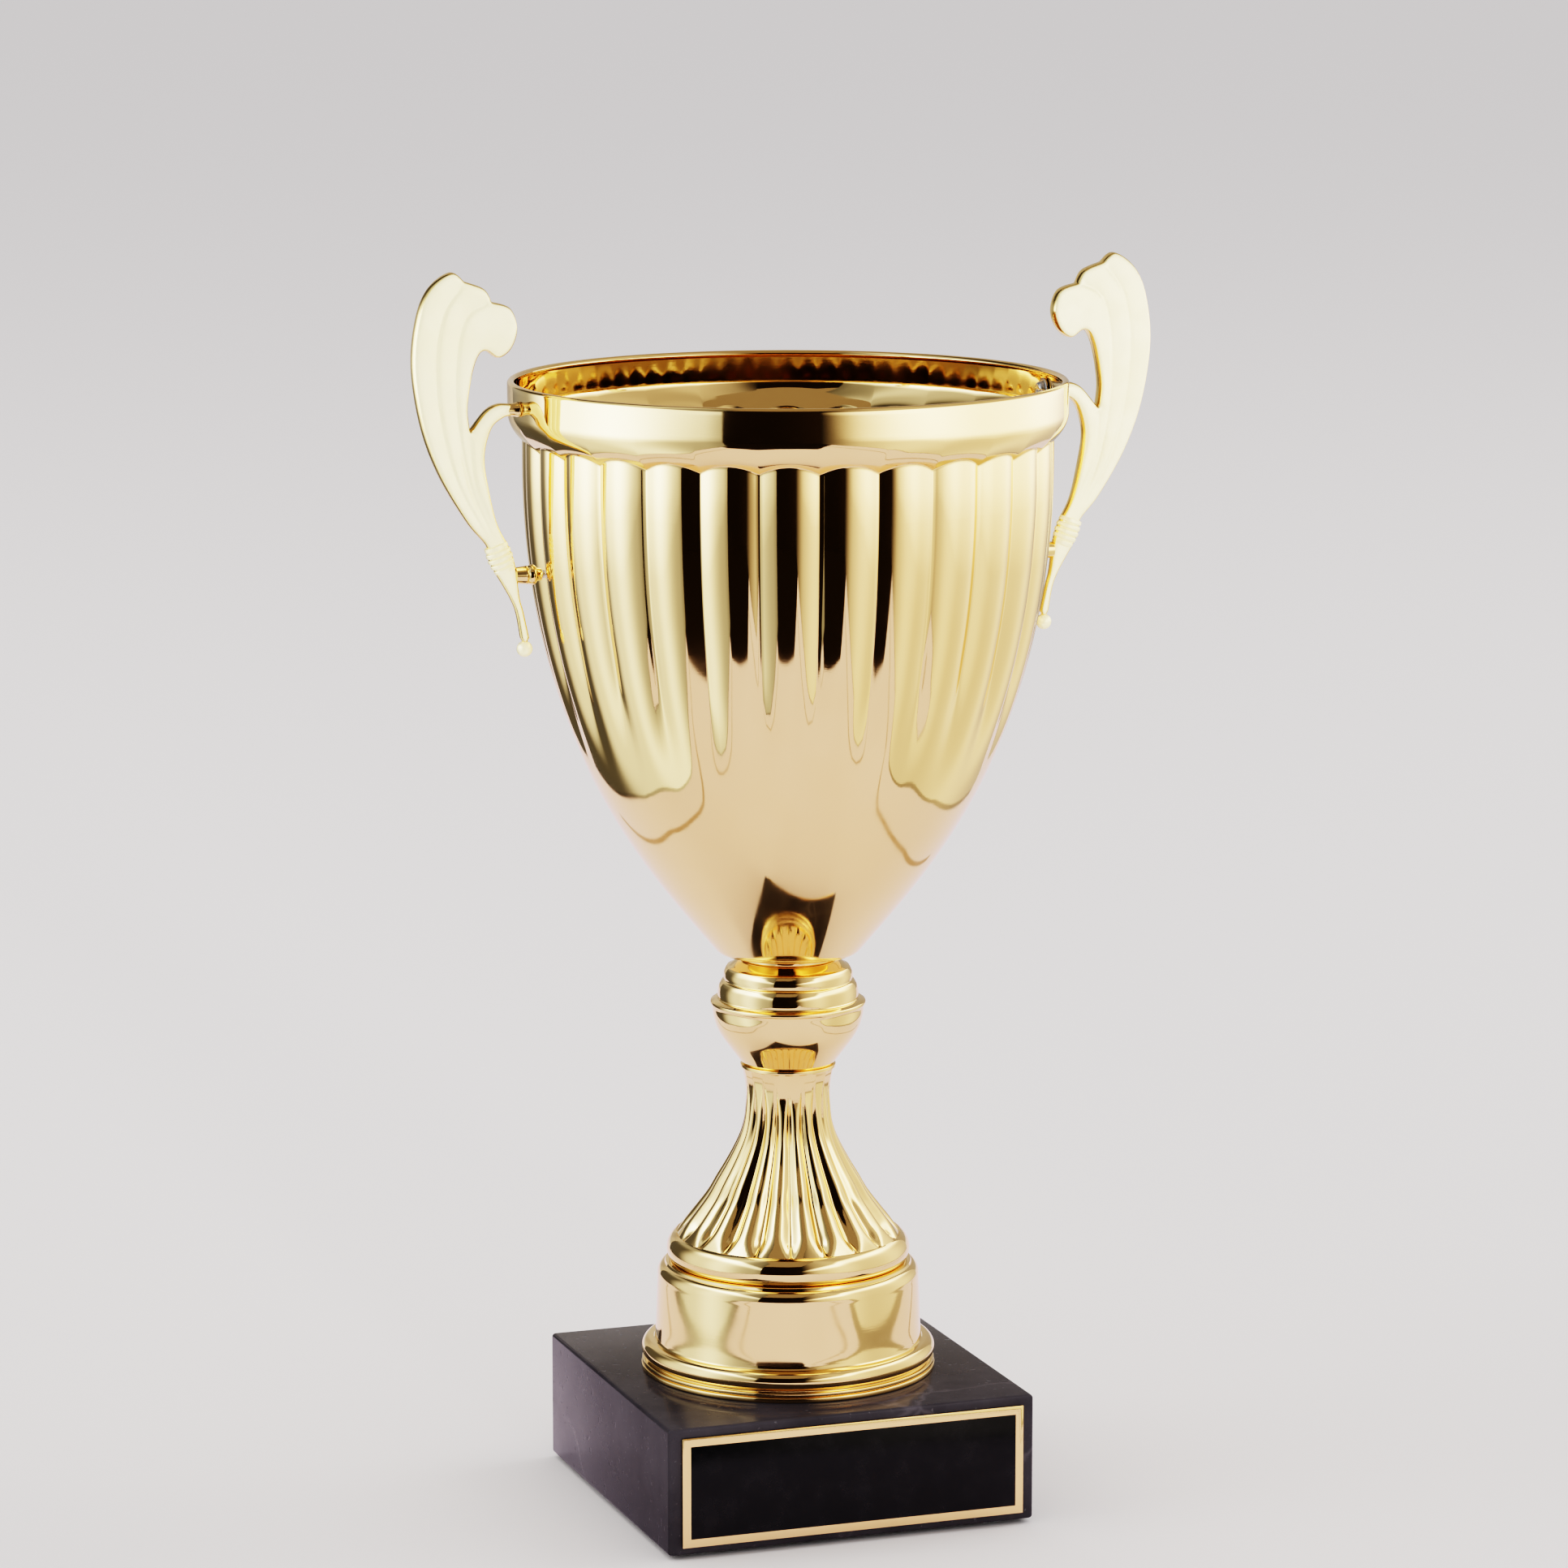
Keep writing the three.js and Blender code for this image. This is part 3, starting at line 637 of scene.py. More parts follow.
def resample(points, spacing):
    """The same line in even steps of about the spacing, with both its ends."""
    points = np.array(points, float)
    lengths = np.linalg.norm(np.diff(points, axis=0), axis=1)
    along = np.concatenate([[0], np.cumsum(lengths)])
    steps = max(2, round(along[-1] / spacing))
    at = np.linspace(0, along[-1], steps + 1)
    return np.stack([np.interp(at, along, points[:, k]) for k in range(2)], axis=1)


def sideways(points, closed):
    """Unit vectors square to a line at each of its points."""
    if closed:
        tangent = np.roll(points, -1, axis=0) - np.roll(points, 1, axis=0)
    else:
        tangent = np.gradient(points, axis=0)
    tangent /= np.linalg.norm(tangent, axis=1, keepdims=True)
    return np.stack([-tangent[:, 1], tangent[:, 0]], axis=1)


def distance_to(points, polyline, signed=False):
    """Distance of each point to the nearest stretch of a line, if signed negative to the line's right."""
    best = np.full(len(points), 1e9)
    side = np.ones(len(points))
    for a, d in zip(polyline[:-1], np.diff(polyline, axis=0)):
        t = np.clip(((points - a) @ d) / (d @ d), 0, 1)
        gap = points - a - t[:, None] * d
        reach = (gap**2).sum(1)
        nearer = reach < best
        best[nearer] = reach[nearer]
        cross = d[0] * gap[:, 1] - d[1] * gap[:, 0]
        side[nearer] = np.where(cross[nearer] < 0, -1, 1)
    return np.sqrt(best) * (side if signed else 1)


def enclosed(points, loop):
    """Which points lie inside a closed loop."""
    inside = np.zeros(len(points), bool)
    for (x1, y1), (x2, y2) in zip(loop, np.roll(loop, -1, axis=0)):
        crosses = (y1 > points[:, 1]) != (y2 > points[:, 1])
        if y1 != y2:
            x = x1 + (points[:, 1] - y1) / (y2 - y1) * (x2 - x1)
            inside ^= crosses & (points[:, 0] < x)
    return inside


def handle_face():
    """Points and triangles of one face of the casting, with their distances to its outline and lines."""
    loop = np.concatenate([resample(spline(stretch, 12), 0.42)[:-1] for stretch in HANDLE_OUTLINE])
    closed = np.concatenate([loop, loop[:1]])
    inward = -sideways(loop, True)
    if not enclosed(loop[:1] + inward[:1] * 0.01, loop)[0]:
        inward = -inward
    grooves = [resample(spline(groove, 12), 0.42) for groove in HANDLE_LINES]
    extra = []
    for offset in (0.06, 0.16, 0.3, 0.48, 0.7, 0.96, 1.26):
        row = loop + inward * offset
        keep = enclosed(row, loop) & (distance_to(row, closed) > offset * 0.97)
        extra.append(row[keep])
    for groove in grooves:
        across = sideways(groove, False)
        for offset in (-0.75, -0.5, -0.32, -0.16, 0, 0.16, 0.32, 0.5, 0.75):
            row = groove + across * offset
            keep = enclosed(row, loop) & (distance_to(row, closed) > 1.4)
            extra.append(row[keep])
    pitch = 0.75
    low, high = loop.min(0), loop.max(0)
    x, z = np.meshgrid(np.arange(low[0], high[0], pitch), np.arange(low[1], high[1], pitch * 0.87))
    x = x + (np.arange(x.shape[0]) % 2)[:, None] * pitch / 2
    lattice = np.stack([x.ravel(), z.ravel()], axis=1)
    keep = enclosed(lattice, loop) & (distance_to(lattice, closed) > 1.6)
    for groove in grooves:
        keep &= distance_to(lattice, groove) > 0.95
    extra.append(lattice[keep])
    everything = np.concatenate([loop, *extra])
    outline = [list(range(len(loop)))]
    result = delaunay_2d_cdt([Vector(p) for p in everything], [], outline, 1, 1e-4)
    points = np.array([tuple(p) for p in result[0]])
    triangles = np.array(result[2])
    edge = distance_to(points, closed)
    return points, triangles, edge, [distance_to(points, groove, signed=True) for groove in grooves]


def handle_relief(points, triangles, edge, grooves):
    """Half the casting's thickness at each point: rounded edges, and plumes that overlap in soft steps."""
    height = points[:, 1]
    slim = 1 - smoothstep(height, 188, 204)
    under_top = 1 - smoothstep(height, 231, 236)
    arm = smoothstep(77 - points[:, 0], 0, 3) * under_top * smoothstep(height, 212, 220)
    rounding = 0.5 + 0.5 * np.maximum(slim, arm)
    crown = np.sqrt(1 - np.exp(-((edge / rounding) ** 1.3) - edge * 0.6 / rounding))
    half = HANDLE_THICKNESS / 2
    half = half - 0.6 * (1 - smoothstep(height, 196, 214)) - 0.4 * (1 - smoothstep(height, 180, 194))
    relief = 0
    fade = smoothstep(height, 199, 210)
    for gap in grooves:
        step = np.where(gap > 0, np.exp(-((gap / 1.5) ** 2)), np.exp(-((gap / 0.3) ** 2)))
        relief = relief + STEP_DEPTH * step * fade
    thickness = 0.45 + (half - 0.45) * crown - relief * crown**4
    return settle(thickness, triangles, smoothstep(edge, 0.3, 0.9))


def settle(values, triangles, share):
    """Values evened out over a mesh, each towards the mean of its neighbours by its own share."""
    start = np.concatenate([triangles, triangles[:, [1, 2, 0]], triangles[:, [2, 0, 1]]])
    count = np.bincount(start[:, 0], minlength=len(values))
    for _ in range(6):
        total = np.bincount(start[:, 0], values[start[:, 1]], len(values))
        values = values + share * 0.6 * (total / np.maximum(count, 1) - values)
    return values


def solid_plate(points, triangles, thickness):
    """Vertices and faces of a plate of varying thickness that stands in the XZ plane."""
    count = len(points)
    front = np.stack([points[:, 0], -thickness, points[:, 1]], axis=1)
    back = front * (1, -1, 1)
    a, b, c = (points[triangles[:, k]] for k in range(3))
    area = np.cross(b - a, c - a)
    triangles = np.where(area[:, None] > 0, triangles, triangles[:, ::-1])
    uses = {}
    for triangle in triangles.tolist():
        for i, j in zip(triangle, triangle[1:] + triangle[:1]):
            uses[(i, j)] = True
    rim = [(i, j) for i, j in uses if (j, i) not in uses]
    faces = triangles.tolist() + (triangles[:, ::-1] + count).tolist()
    faces += [[j, i, i + count, j + count] for i, j in rim]
    return np.concatenate([front, back]), faces


def along_axis(points, axis, centre):
    """Points of a piece turned about Z, laid along another axis through a centre."""
    turn = np.array(Vector((0, 0, 1)).rotation_difference(Vector(axis)).to_matrix())
    return np.reshape(points, (-1, 3)) @ turn.T + centre


def capped_faces(rows, sides):
    """Faces of a stack of rings closed by a point at each end, the two points numbered after the rings."""
    faces = tube_faces(rows, sides)[: (rows - 1) * sides].tolist()
    first, last = rows * sides, rows * sides + 1
    for i in range(sides):
        beside = (i + 1) % sides
        faces.append([first, beside, i])
        faces.append([last, (rows - 1) * sides + i, (rows - 1) * sides + beside])
    return faces


class Parts:
    """Several closed shapes gathered into one mesh."""

    def __init__(self):
        self.points = []
        self.faces = []
        self.count = 0

    def add(self, points, faces):
        points = np.reshape(points, (-1, 3))
        self.points.append(points)
        self.faces += [[i + self.count for i in face] for face in np.array(faces, dtype=object).tolist()]
        self.count += len(points)

    def add_turned(self, profile, sides, axis, centre, squash=1.0):
        """Adds a profile turned about an axis. The profile starts and ends on the axis."""
        ring = turned(profile[1:-1], sides)
        ring[..., 1] *= squash
        tips = np.array([(0, 0, profile[0][1]), (0, 0, profile[-1][1])])
        points = np.concatenate([ring.reshape(-1, 3), tips])
        self.add(along_axis(points, axis, centre), capped_faces(len(profile) - 2, sides))


def groove_depth(place, grooves):
    """Depth of a row of fine round grooves at a place across them, from 0 to 1."""
    return max(math.exp(-(((place - groove) / GROOVE_WIDTH) ** 2)) for groove in grooves)


def handles():
    points, triangles, edge, grooves = handle_face()
    thickness = handle_relief(points, triangles, edge, grooves)
    plate, faces = solid_plate(points, triangles, thickness)
    casting = Parts()
    casting.add(plate, faces)
    barrel = spline([(2.4, -3.3), (2.85, -1.6), (3.05, 0), (3.0, 1.7), (2.75, 3.3)], 20)
    barrel = [(r - GROOVE_DEPTH * groove_depth(z, COLLAR_GROOVES), z) for r, z in barrel]
    barrel = [(0, -3.4), (1.9, -3.4), *barrel, (2.0, 3.4), (0, 3.4)]
    casting.add_turned(barrel, 64, COLLAR_AXIS, COLLAR_CENTRE, squash=COLLAR_SQUASH)
    ball = [(0, -BALL_RADIUS), *arc((0, 0), BALL_RADIUS, -80, 80, 14), (0, BALL_RADIUS)]
    casting.add_turned(ball, 28, (0, 0, 1), BALL_CENTRE)
    bosses = Parts()
    boss = [
        (0, 0),
        *arc((1.5, 0.25), 0.25, -90, 0, 3),
        *spline([(1.7, 0.6), (1.5, 1.5), (1.4, 3)], 4),
        (0, 3.4),
    ]
    bosses.add_turned(boss, 40, (1, 0, 0), (BAND_RADIUS + 0.02, 0, ARM_HEIGHT), squash=1.2)
    post = [
        (0, -1.2),
        (1.4, -1.2),
        (1.55, -0.2),
        *spline([(1.9, 0.05), (2.25, 0.45), (2.35, 1.0), (2.2, 1.6), (1.95, 2.0)], 5),
        *line((2.15, 2.2), (1.8, 5.4), 6),
        (0, 5.6),
    ]
    bosses.add_turned(post, 40, (1, 0, 0), (61.4, 0, POST_HEIGHT))
    softness = 1 - smoothstep(edge, 0.15, 0.6)
    for side, sign in (("right", 1), ("left", -1)):
        turn = np.array((sign, sign, 1))
        up = np.array((0, 0, STONE_TOP))
        node = f"handle_{side}"
        made = make_mesh(f"{node}_casting", np.concatenate(casting.points) * turn + up, casting.faces, 60)
        attribute = made.data.attributes.new("edge", "FLOAT", "POINT")
        values = np.full(len(made.data.vertices), 0.1)
        values[: len(edge)] = softness
        values[len(edge) : 2 * len(edge)] = softness
        attribute.data.foreach_set("value", values.astype(np.float32))
        adopt(made, "satin_gilt", node)
        made = make_mesh(f"{node}_posts", np.concatenate(bosses.points) * turn + up, bosses.faces, 60)
        adopt(made, "gilt", node)


# ---- Fasteners ----
ROD_RADIUS = 2.95
ROD_PITCH = 1.0
THREAD_DEPTH = 0.5
NUT_HOLE_RADIUS = 3.05
SCREW_RADIUS = 1.0
SCREW_PITCH = 0.4
SCREW_THREAD_DEPTH = 0.2
HEAD_HEIGHT = 1.3
SLOT_SIZE = (1.0, 6.0, 0.5)


def threaded(radius, depth, pitch, low, high, sides, rows_per_turn):
    """Rows by columns of a screw thread about Z with plain, chamfered ends."""
    rows = int((high - low) / pitch * rows_per_turn)
    z = np.linspace(low, high, rows + 1)[:, None]
    angle = np.linspace(0, 2 * math.pi, sides, endpoint=False)[None, :]
    phase = (z / pitch - angle / (2 * math.pi)) % 1
    r = radius - depth * np.abs(2 * phase - 1)
    ends = np.minimum(z - low, high - z)
    r = np.minimum(r, radius - depth + ends * 0.9)
    return polar(r, angle, z)


def threaded_piece(name, rings, node):
    """A piece from the rings of a thread, closed by a point at each end."""
    tips = np.stack([rings[0].mean(0), rings[-1].mean(0)])
    points = np.concatenate([rings.reshape(-1, 3), tips])
    adopt(make_mesh(name, points, capped_faces(*rings.shape[:2]), 70), "zinc", node)


def tie_rod():
    low, high = node_box("tie_rod")
    rings = threaded(ROD_RADIUS, THREAD_DEPTH, ROD_PITCH, low[2], high[2], 28, 7)
    threaded_piece("tie_rod_thread", rings, "tie_rod")


def hex_nut(name, node):
    low, high = node_box(node)
    height = high[2] - low[2]
    flat = (high[0] - low[0]) / 2 * math.cos(math.radians(30))
    sides = 72
    angle = np.linspace(0, 2 * math.pi, sides, endpoint=False)
    hexagon = flat / np.cos((angle + math.pi / 6) % (math.pi / 3) - math.pi / 6)
    if (high[0] - low[0]) < (high[1] - low[1]):
        hexagon = np.roll(hexagon, sides // 12)
    rows = [NUT_HOLE_RADIUS + 0 * angle, NUT_HOLE_RADIUS + 0.35 + 0 * angle, flat * 0.95 + 0 * angle]
    heights = [0.35, 0, 0]
    for rise in (0.06, 0.14, 0.24, 0.36, 0.5, 0.7):
        rows.append(np.minimum(hexagon, flat * 0.95 + rise * 1.7))
        heights.append(rise)
    rows += rows[:2:-1]
    heights += [height - rise for rise in heights[:2:-1]]
    rows += [rows[2], rows[1], rows[0]]
    heights += [height, height, height - 0.35]
    points = polar(np.array(rows), angle[None, :], np.array(heights)[:, None] + low[2])
    made = make_mesh(name, points, tube_faces(len(rows), sides), 30)
    adopt(made, "zinc", node)


def rod_washer(name, node):
    low, high = node_box(node)
    edge = 0.25
    radius = (high[0] - low[0]) / 2
    profile = [
        (ROD_HOLE_RADIUS + edge / 2, low[2]),
        *arc((radius - edge, low[2] + edge), edge, -90, 0, 4),
        *arc((radius - edge / 2, high[2] - edge / 2), edge / 2, 0, 90, 3),
        (ROD_HOLE_RADIUS + edge, high[2]),
        (ROD_HOLE_RADIUS, high[2] - edge),
        (ROD_HOLE_RADIUS, low[2] + edge / 2),
    ]
    points = turned(profile, 72)
    adopt(make_mesh(name, points, tube_faces(len(profile), 72), 30), "zinc", node)


def handle_screw(node, washer):
    """A slotted pan-head screw with a real thread, and the washer under its head."""
    low, high = node_box(node)
    sign = 1 if low[0] > 0 else -1
    centre_height = (low[2] + high[2]) / 2
    head_end, tip = (low[0], high[0]) if sign > 0 else (high[0], low[0])
    under_head = abs(head_end) + HEAD_HEIGHT
    head = [
        (0, 0),
        *arc((1.1, 0.75), 0.75, -90, -30, 5),
        *arc((1.75, 1.0), 0.25, -30, 90, 4),
        (0, HEAD_HEIGHT),
    ]
    shape = Parts()
    shape.add_turned(head, 36, (sign, 0, 0), (head_end, 0, centre_height))
    made = make_mesh(f"{node}_body", np.concatenate(shape.points), shape.faces, 40)
    slot = bmesh.new()
    bmesh.ops.create_cube(slot, size=1)
    size = Vector(SLOT_SIZE) * MM
    bmesh.ops.transform(slot, matrix=Matrix.Diagonal(size.to_4d()), verts=slot.verts)
    bmesh.ops.translate(slot, vec=Vector((head_end, 0, centre_height)) * MM, verts=slot.verts)
    cut(made, from_bmesh("slot", slot))
    adopt(made, "zinc", node)
    shank = threaded(SCREW_RADIUS, SCREW_THREAD_DEPTH, SCREW_PITCH, 0, abs(tip) - under_head, 20, 6)
    laid = along_axis(shank, (sign, 0, 0), (sign * under_head, 0, centre_height))
    threaded_piece(f"{node}_thread", laid.reshape(shank.shape), node)
    low, high = node_box(washer)
    face = min(abs(low[0]), abs(high[0]))
    radius = (high[2] - low[2]) / 2
    thickness = high[0] - low[0]
    ring = [
        (SCREW_HOLE_RADIUS, 0.1),
        (SCREW_HOLE_RADIUS + 0.1, 0),
        *arc((radius - 0.15, 0.15), 0.15, -90, 0, 3),
        (radius, thickness - 0.1),
        (radius - 0.1, thickness),
        (SCREW_HOLE_RADIUS, thickness),
    ]
    points = along_axis(turned(ring, 48), (sign, 0, 0), (sign * face, 0, centre_height))
    adopt(make_mesh(f"{washer}_ring", points, tube_faces(len(ring), 48), 30), "zinc", washer)


# ---- Stone, pads and name plate ----
STONE_EDGE = 0.9
COUNTERBORE_RADIUS = 11
COUNTERBORE_DEPTH = 12
THROUGH = 5
FUZZ = 0.07
PANEL_GAP = 0.02


def box_mesh(name, low, high, edge, segments):
    """A slab between two corners in millimetres, with rounded edges."""
    shape = bmesh.new()
    bmesh.ops.create_cube(shape, size=1)
    low, high = np.array(low), np.array(high)
    size = Vector((high - low) * MM)
    bmesh.ops.transform(shape, matrix=Matrix.Diagonal(size.to_4d()), verts=shape.verts)
    bmesh.ops.translate(shape, vec=Vector((low + high) / 2 * MM), verts=shape.verts)
    bmesh.ops.bevel(
        shape, geom=shape.edges[:], offset=edge * MM, offset_type="OFFSET", segments=segments, profile=0.5,
        affect="EDGES",
    )
    return from_bmesh(name, shape)


def shade(made, sharp_angle):
    mesh = made.data
    mesh.polygons.foreach_set("use_smooth", np.ones(len(mesh.polygons), bool))
    mesh.set_sharp_from_angle(angle=math.radians(sharp_angle))


def cylinder_cutter(radius, low, high):
    profile = [(0, low), (radius, low), (radius, high), (0, high)]
    shape = Parts()
    shape.add_turned(profile, 96, (0, 0, 1), (0, 0, 0))
    return make_mesh("cutter", np.concatenate(shape.points), shape.faces)


def stone():
    low, high = STONE_LOW, STONE_HIGH
    made = box_mesh("marble_block", low, high, STONE_EDGE, 4)
    cut(made, cylinder_cutter(ROD_HOLE_RADIUS, low[2] - THROUGH, high[2] + THROUGH))
    cut(made, cylinder_cutter(COUNTERBORE_RADIUS, low[2] - THROUGH, low[2] + COUNTERBORE_DEPTH))
    shade(made, 40)
    adopt(made, "marble", "marble_base")


def felt_pads():
    for number in range(1, 5):
        node = f"felt_pad_{number}"
        low, high = node_box(node)
        centre = (low + high) / 2
        radius = (high[0] - low[0]) / 2
        sides = 72
        profile = [(0, low[2]), *line((0.5, low[2]), (radius - 0.3, low[2]), 8)]
        profile += arc((radius - 0.3, low[2] + 0.3), 0.3, -90, 0, 4)
        profile += [(radius, (low[2] + high[2]) / 2), (radius - 0.05, high[2]), (0, high[2])]
        shape = Parts()
        shape.add_turned(profile, sides, (0, 0, 1), (centre[0], centre[1], 0))
        points = shape.points[0]
        fuzz = random.uniform(0, FUZZ, len(points))
        outward = points - (centre[0], centre[1], 0)
        outward[:, 2] = 0
        length = np.linalg.norm(outward, axis=1)
        rim = length > radius - 0.4
        points[rim] -= outward[rim] / length[rim, None] * fuzz[rim, None]
        adopt(make_mesh(f"{node}_disc", points, shape.faces, 60), "felt", node)


def name_plate():
    low, high = node_box("name_plate")
    made = box_mesh("name_plate_frame", low, high, 0.18, 3)
    panel_low, panel_high = node_box("plate_panel")
    cut(made, box_mesh("recess", panel_low - (0, 0.4, 0), panel_high, 0.05, 1))
    shade(made, 35)
    adopt(made, "gilt", "name_plate")
    panel_low = panel_low + (PANEL_GAP, 0.03, PANEL_GAP)
    panel_high = panel_high - (PANEL_GAP, 0, PANEL_GAP)
    lacquered = box_mesh("plate_panel_lacquer", panel_low, panel_high, 0.06, 2)
    shade(lacquered, 35)
    adopt(lacquered, "lacquer", "plate_panel")
    tape_low, tape_high = node_box("plate_tape")
    strip = box_mesh("plate_tape_foam", tape_low, tape_high, 0.08, 2)
    shade(strip, 35)
    adopt(strip, "tape", "plate_tape")


bowl()
foot_drum()
column()
knob_lower()
knob_upper()
neck_collar()
handles()
tie_rod()
for end in ("top", "bottom"):
    hex_nut(f"rod_nut_{end}_hex", f"rod_nut_{end}")
    rod_washer(f"rod_washer_{end}_disc", f"rod_washer_{end}")
for seat in ("upper", "lower"):
    for side in ("right", "left"):
        handle_screw(f"screw_{seat}_{side}", f"washer_{seat}_{side}")
stone()
felt_pads()
name_plate()


# ---- Studio ----
SOFTBOX_HEIGHT = 0.9
LAMP_HEIGHTS = [0, 0.006, 0.007, 0.08, 0.17, 0.2, 0.24, 0.3, 0.34, 0.9]
LAMP_BRIGHTNESS = [0.4, 0.4, 0.95, 1.0, 1.05, 1.3, 3.4, 3.4, 0.6, 0.4]
LEFT_PLAN = [(-0.215, 0.465), (-0.19, 0.18), (-0.178, 0.1), (-0.222, -0.03), (-0.265, -0.4)]
RIGHT_PLAN = [(0.215, 1.086), (0.244, 0.213), (0.195, 0.1), (0.22, -0.07), (0.225, -0.36)]
LEFT_TINT = (0.98, 1.0, 0.99)
RIGHT_TINT = (1.0, 0.88, 0.77)
FLOOR_RADIUS = 14
CARD_REACH = 1.3
CEILING_REACH = 0.9
KEY_SIZE = 1.6
TOP_SIZE = 2.4
HANDLE_LIGHT_POWER = 330


def toward(degrees, distance):
    """A place on the floor at a distance from the cup, so many degrees to the camera's right."""
    angle = CAMERA_TURN + math.radians(degrees)
    return Vector((distance * math.sin(angle), -distance * math.cos(angle), 0))


def square(reach, height):
    """Corners of a level square round the cup's axis."""
    return [Vector((x * reach, y * reach, height)) for x, y in ((-1, -1), (1, -1), (1, 1), (-1, 1))]


def on_floor(plan):
    """Coordinates in the part's frame of plan points, x to the camera's right and y to the camera."""
    sine, cosine = math.sin(CAMERA_TURN), math.cos(CAMERA_TURN)
    x = plan[:, 0] * cosine + plan[:, 1] * sine
    y = plan[:, 0] * sine - plan[:, 1] * cosine
    return x, y


def stage_material(name, colour, glow=0.0):
    material = bpy.data.materials.new(name)
    material.use_nodes = True
    shader = material.node_tree.nodes["Principled BSDF"]
    shader.inputs["Base Color"].default_value = (*colour, 1)
    shader.inputs["Roughness"].default_value = 1.0
    shader.inputs["Specular IOR Level"].default_value = 0.0
    shader.inputs["Emission Color"].default_value = (*colour, 1)
    shader.inputs["Emission Strength"].default_value = glow
    return material


def glowing_cloth():
    """Softbox cloth whose colour and brightness come from the panel that it covers."""
    material = stage_material("softbox_cloth", (0, 0, 0))
    tree = material.node_tree
    glow = tree.nodes.new("ShaderNodeAttribute")
    glow.attribute_name = "glow"
    shader = tree.nodes["Principled BSDF"]
    tree.links.new(glow.outputs["Color"], shader.inputs["Emission Color"])
    shader.inputs["Emission Strength"].default_value = 1.0
    return material


def reflected_piece(name, points, faces, material):
    """A stage piece that is seen in reflections only. Returns its mesh."""
    mesh = bpy.data.meshes.new(name)
    mesh.from_pydata(points, [], faces)
    mesh.materials.append(material)
    made = link_new(name, mesh)
    made.visible_camera = False
    made.visible_diffuse = False
    made.visible_shadow = False
    return mesh


def panel(name, corners, material):
    reflected_piece(name, [tuple(c) for c in corners], [list(range(len(corners)))], material)


def upright_panel(name, start, end, material, low, high):
    bottom = [start + Vector((0, 0, low)), end + Vector((0, 0, low))]
    top = [end + Vector((0, 0, high)), start + Vector((0, 0, high))]
    panel(name, bottom + top, material)


def softbox(name, plan, glow, tint, material):
    """A curved softbox standing on the floor along its plan, with the glow that each azimuth has."""
    plan = resample(plan, 0.012)
    heights = np.array([0, 0.006, 0.007, *np.linspace(0.03, SOFTBOX_HEIGHT, 30)])
    rise = np.interp(heights, LAMP_HEIGHTS, LAMP_BRIGHTNESS)
    azimuth = np.degrees(np.arctan2(plan[:, 0], plan[:, 1]))
    brightness = rise[:, None] * glow(azimuth)[None, :]
    x, y = on_floor(plan)
    points = [(x[i], y[i], z) for z in heights for i in range(len(plan))]
    faces = tube_faces(len(heights), len(plan)).reshape(len(heights), len(plan), 4)
    faces = faces[:-1, :-1].reshape(-1, 4)
    mesh = reflected_piece(name, points, faces.tolist(), material)
    colour = brightness[..., None] * tint
    colour = np.concatenate([colour, np.ones_like(colour[..., :1])], axis=-1)
    attribute = mesh.attributes.new("glow", "FLOAT_COLOR", "POINT")
    attribute.data.foreach_set("color", colour.astype(np.float32).ravel())


def floor_line(name, plan, inner, outer, material):
    """A narrow dark line on the floor between two shares of a softbox's distance from the cup."""
    plan = resample(plan, 0.02)
    x, y = on_floor(plan)
    count = len(plan)
    points = [(x[i] * share, y[i] * share, 0.0006) for share in (inner, outer) for i in range(count)]
    faces = [(i, i + 1, i + 1 + count, i + count) for i in range(count - 1)]
    reflected_piece(name, points, faces, material)


def hill(value, centre, width):
    return np.exp(-(((value - centre) / width) ** 2))


def left_glow(azimuth):
    """Brightness of the left softbox: a lamp beside the cup and a weaker one behind it."""
    even = 0.42 + 1.05 * hill(azimuth, -66, 17) + 0.5 * hill(azimuth, -95, 14)
    fade = 0.25 + 0.75 * smoothstep(azimuth, -122, -104)
    return even * (0.7 + 0.3 * smoothstep(-azimuth, 25, 32)) * fade


def right_glow(azimuth):
    """Brightness of the right softbox: lamps in front of, beside and behind the cup."""
    lamps = 0.62 * hill(azimuth, 50, 19) + 0.2 * hill(azimuth, 82, 15) + 0.6 * hill(azimuth, 113, 22)
    return (0.55 + lamps) * smoothstep(azimuth, 10.5, 30)


def floor():
    shape = bmesh.new()
    bmesh.ops.create_circle(shape, cap_ends=True, radius=FLOOR_RADIUS, segments=96)
    made = from_bmesh("floor", shape)
    made.data.materials.append(stage_material("floor_paper", (0.80, 0.755, 0.735)))


def aim_light(name, data, place, target):
    """Puts a light in its place. It lights surfaces and isn't seen in them."""
    light = link_new(name, data)
    light.location = place
    light.rotation_euler = (Vector(target) - Vector(place)).to_track_quat("-Z", "Y").to_euler()
    light.visible_camera = False
    light.visible_glossy = False


def area_light(name, place, target, side, radiance):
    """A square soft light."""
    data = bpy.data.lights.new(name, "AREA")
    data.shape = "RECTANGLE"
    data.size = side
    data.size_y = side
    data.energy = radiance * math.pi * side * side
    aim_light(name, data, place, target)


def handle_light(name, azimuth):
    """A soft spot kept to the height of the handles."""
    data = bpy.data.lights.new(name, "SPOT")
    data.energy = HANDLE_LIGHT_POWER
    data.spot_size = math.radians(11)
    data.spot_blend = 0.6
    data.shadow_soft_size = 0.15
    aim_light(name, data, toward(azimuth, 2.4) + Vector((0, 0, 0.30)), (0, 0, 0.255))


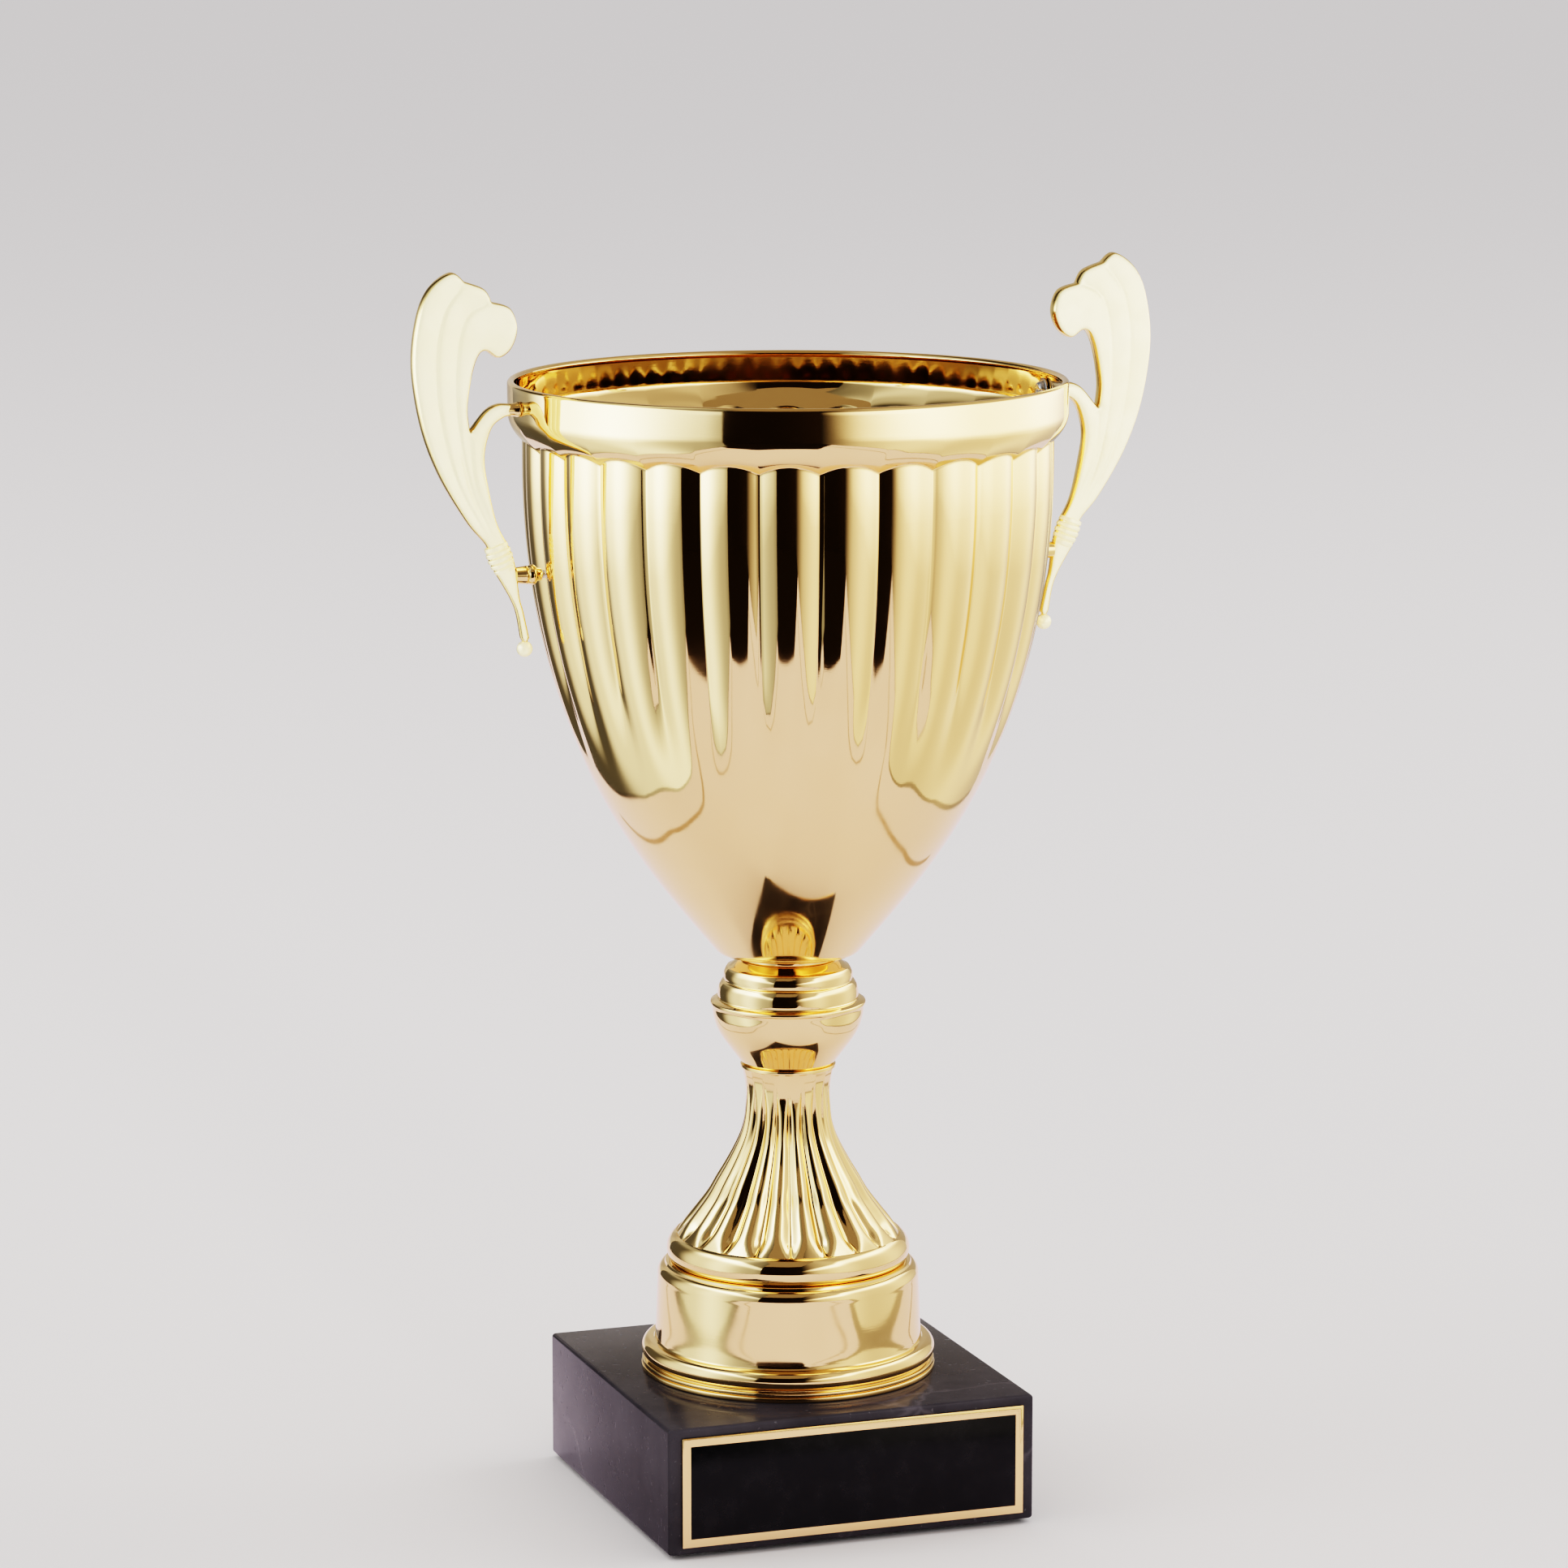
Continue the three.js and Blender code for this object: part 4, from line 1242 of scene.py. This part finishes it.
def daylight():
    """The even light of the room, and the tone curve of the picture."""
    world = bpy.data.worlds.new("studio")
    world.use_nodes = True
    background = world.node_tree.nodes["Background"]
    background.inputs["Color"].default_value = (0.96, 0.97, 1.0, 1)
    background.inputs["Strength"].default_value = 0.75
    scene = bpy.context.scene
    scene.world = world
    scene.view_settings.view_transform = "Filmic"
    scene.view_settings.look = "Very High Contrast"


def studio():
    floor()
    daylight()
    cloth = glowing_cloth()
    softbox("softbox_left", LEFT_PLAN, left_glow, LEFT_TINT, cloth)
    softbox("softbox_right", RIGHT_PLAN, right_glow, RIGHT_TINT, cloth)
    seam = stage_material("paper_edge", (0.45, 0.33, 0.27))
    floor_line("paper_edge_left", LEFT_PLAN, 0.76, 0.785, seam)
    floor_line("paper_edge_right", RIGHT_PLAN, 0.72, 0.745, seam)
    panel("floor_card", square(CARD_REACH, 0.0003), stage_material("rosy_paper", (0.90, 0.765, 0.86)))
    black = stage_material("black_flag", (0.018, 0.012, 0.007))
    upright_panel("flag_front", toward(-45, 1.2), toward(32, 1.2), black, 0, 1.4)
    apron = [toward(-24.8, 0.40), toward(11.2, 0.40), toward(20, 1.2), toward(-33, 1.2)]
    panel("flag_floor", [p + Vector((0, 0, 0.0009)) for p in apron], black)
    dim = stage_material("dim_flag", (0.21, 0.19, 0.17), 1.0)
    upright_panel("flag_back", toward(140, 0.8), toward(220, 0.8), dim, 0.07, SOFTBOX_HEIGHT)
    ceiling = stage_material("dim_ceiling", (0.15, 0.125, 0.10), 1.0)
    panel("flag_ceiling", square(CEILING_REACH, SOFTBOX_HEIGHT + 0.02), ceiling)
    raised = Vector((0, 0, 1.8))
    area_light("key_left", toward(-75, 2.2) + raised, (0, 0, 0.1), KEY_SIZE, 1.5)
    area_light("key_right", toward(110, 2.2) + raised, (0, 0, 0.1), KEY_SIZE, 2.0)
    area_light("top", (0, 0, 2.6), (0, 0, 0), TOP_SIZE, 0.65)
    handle_light("handles_front", 20)
    handle_light("handles_back", 200)


studio()
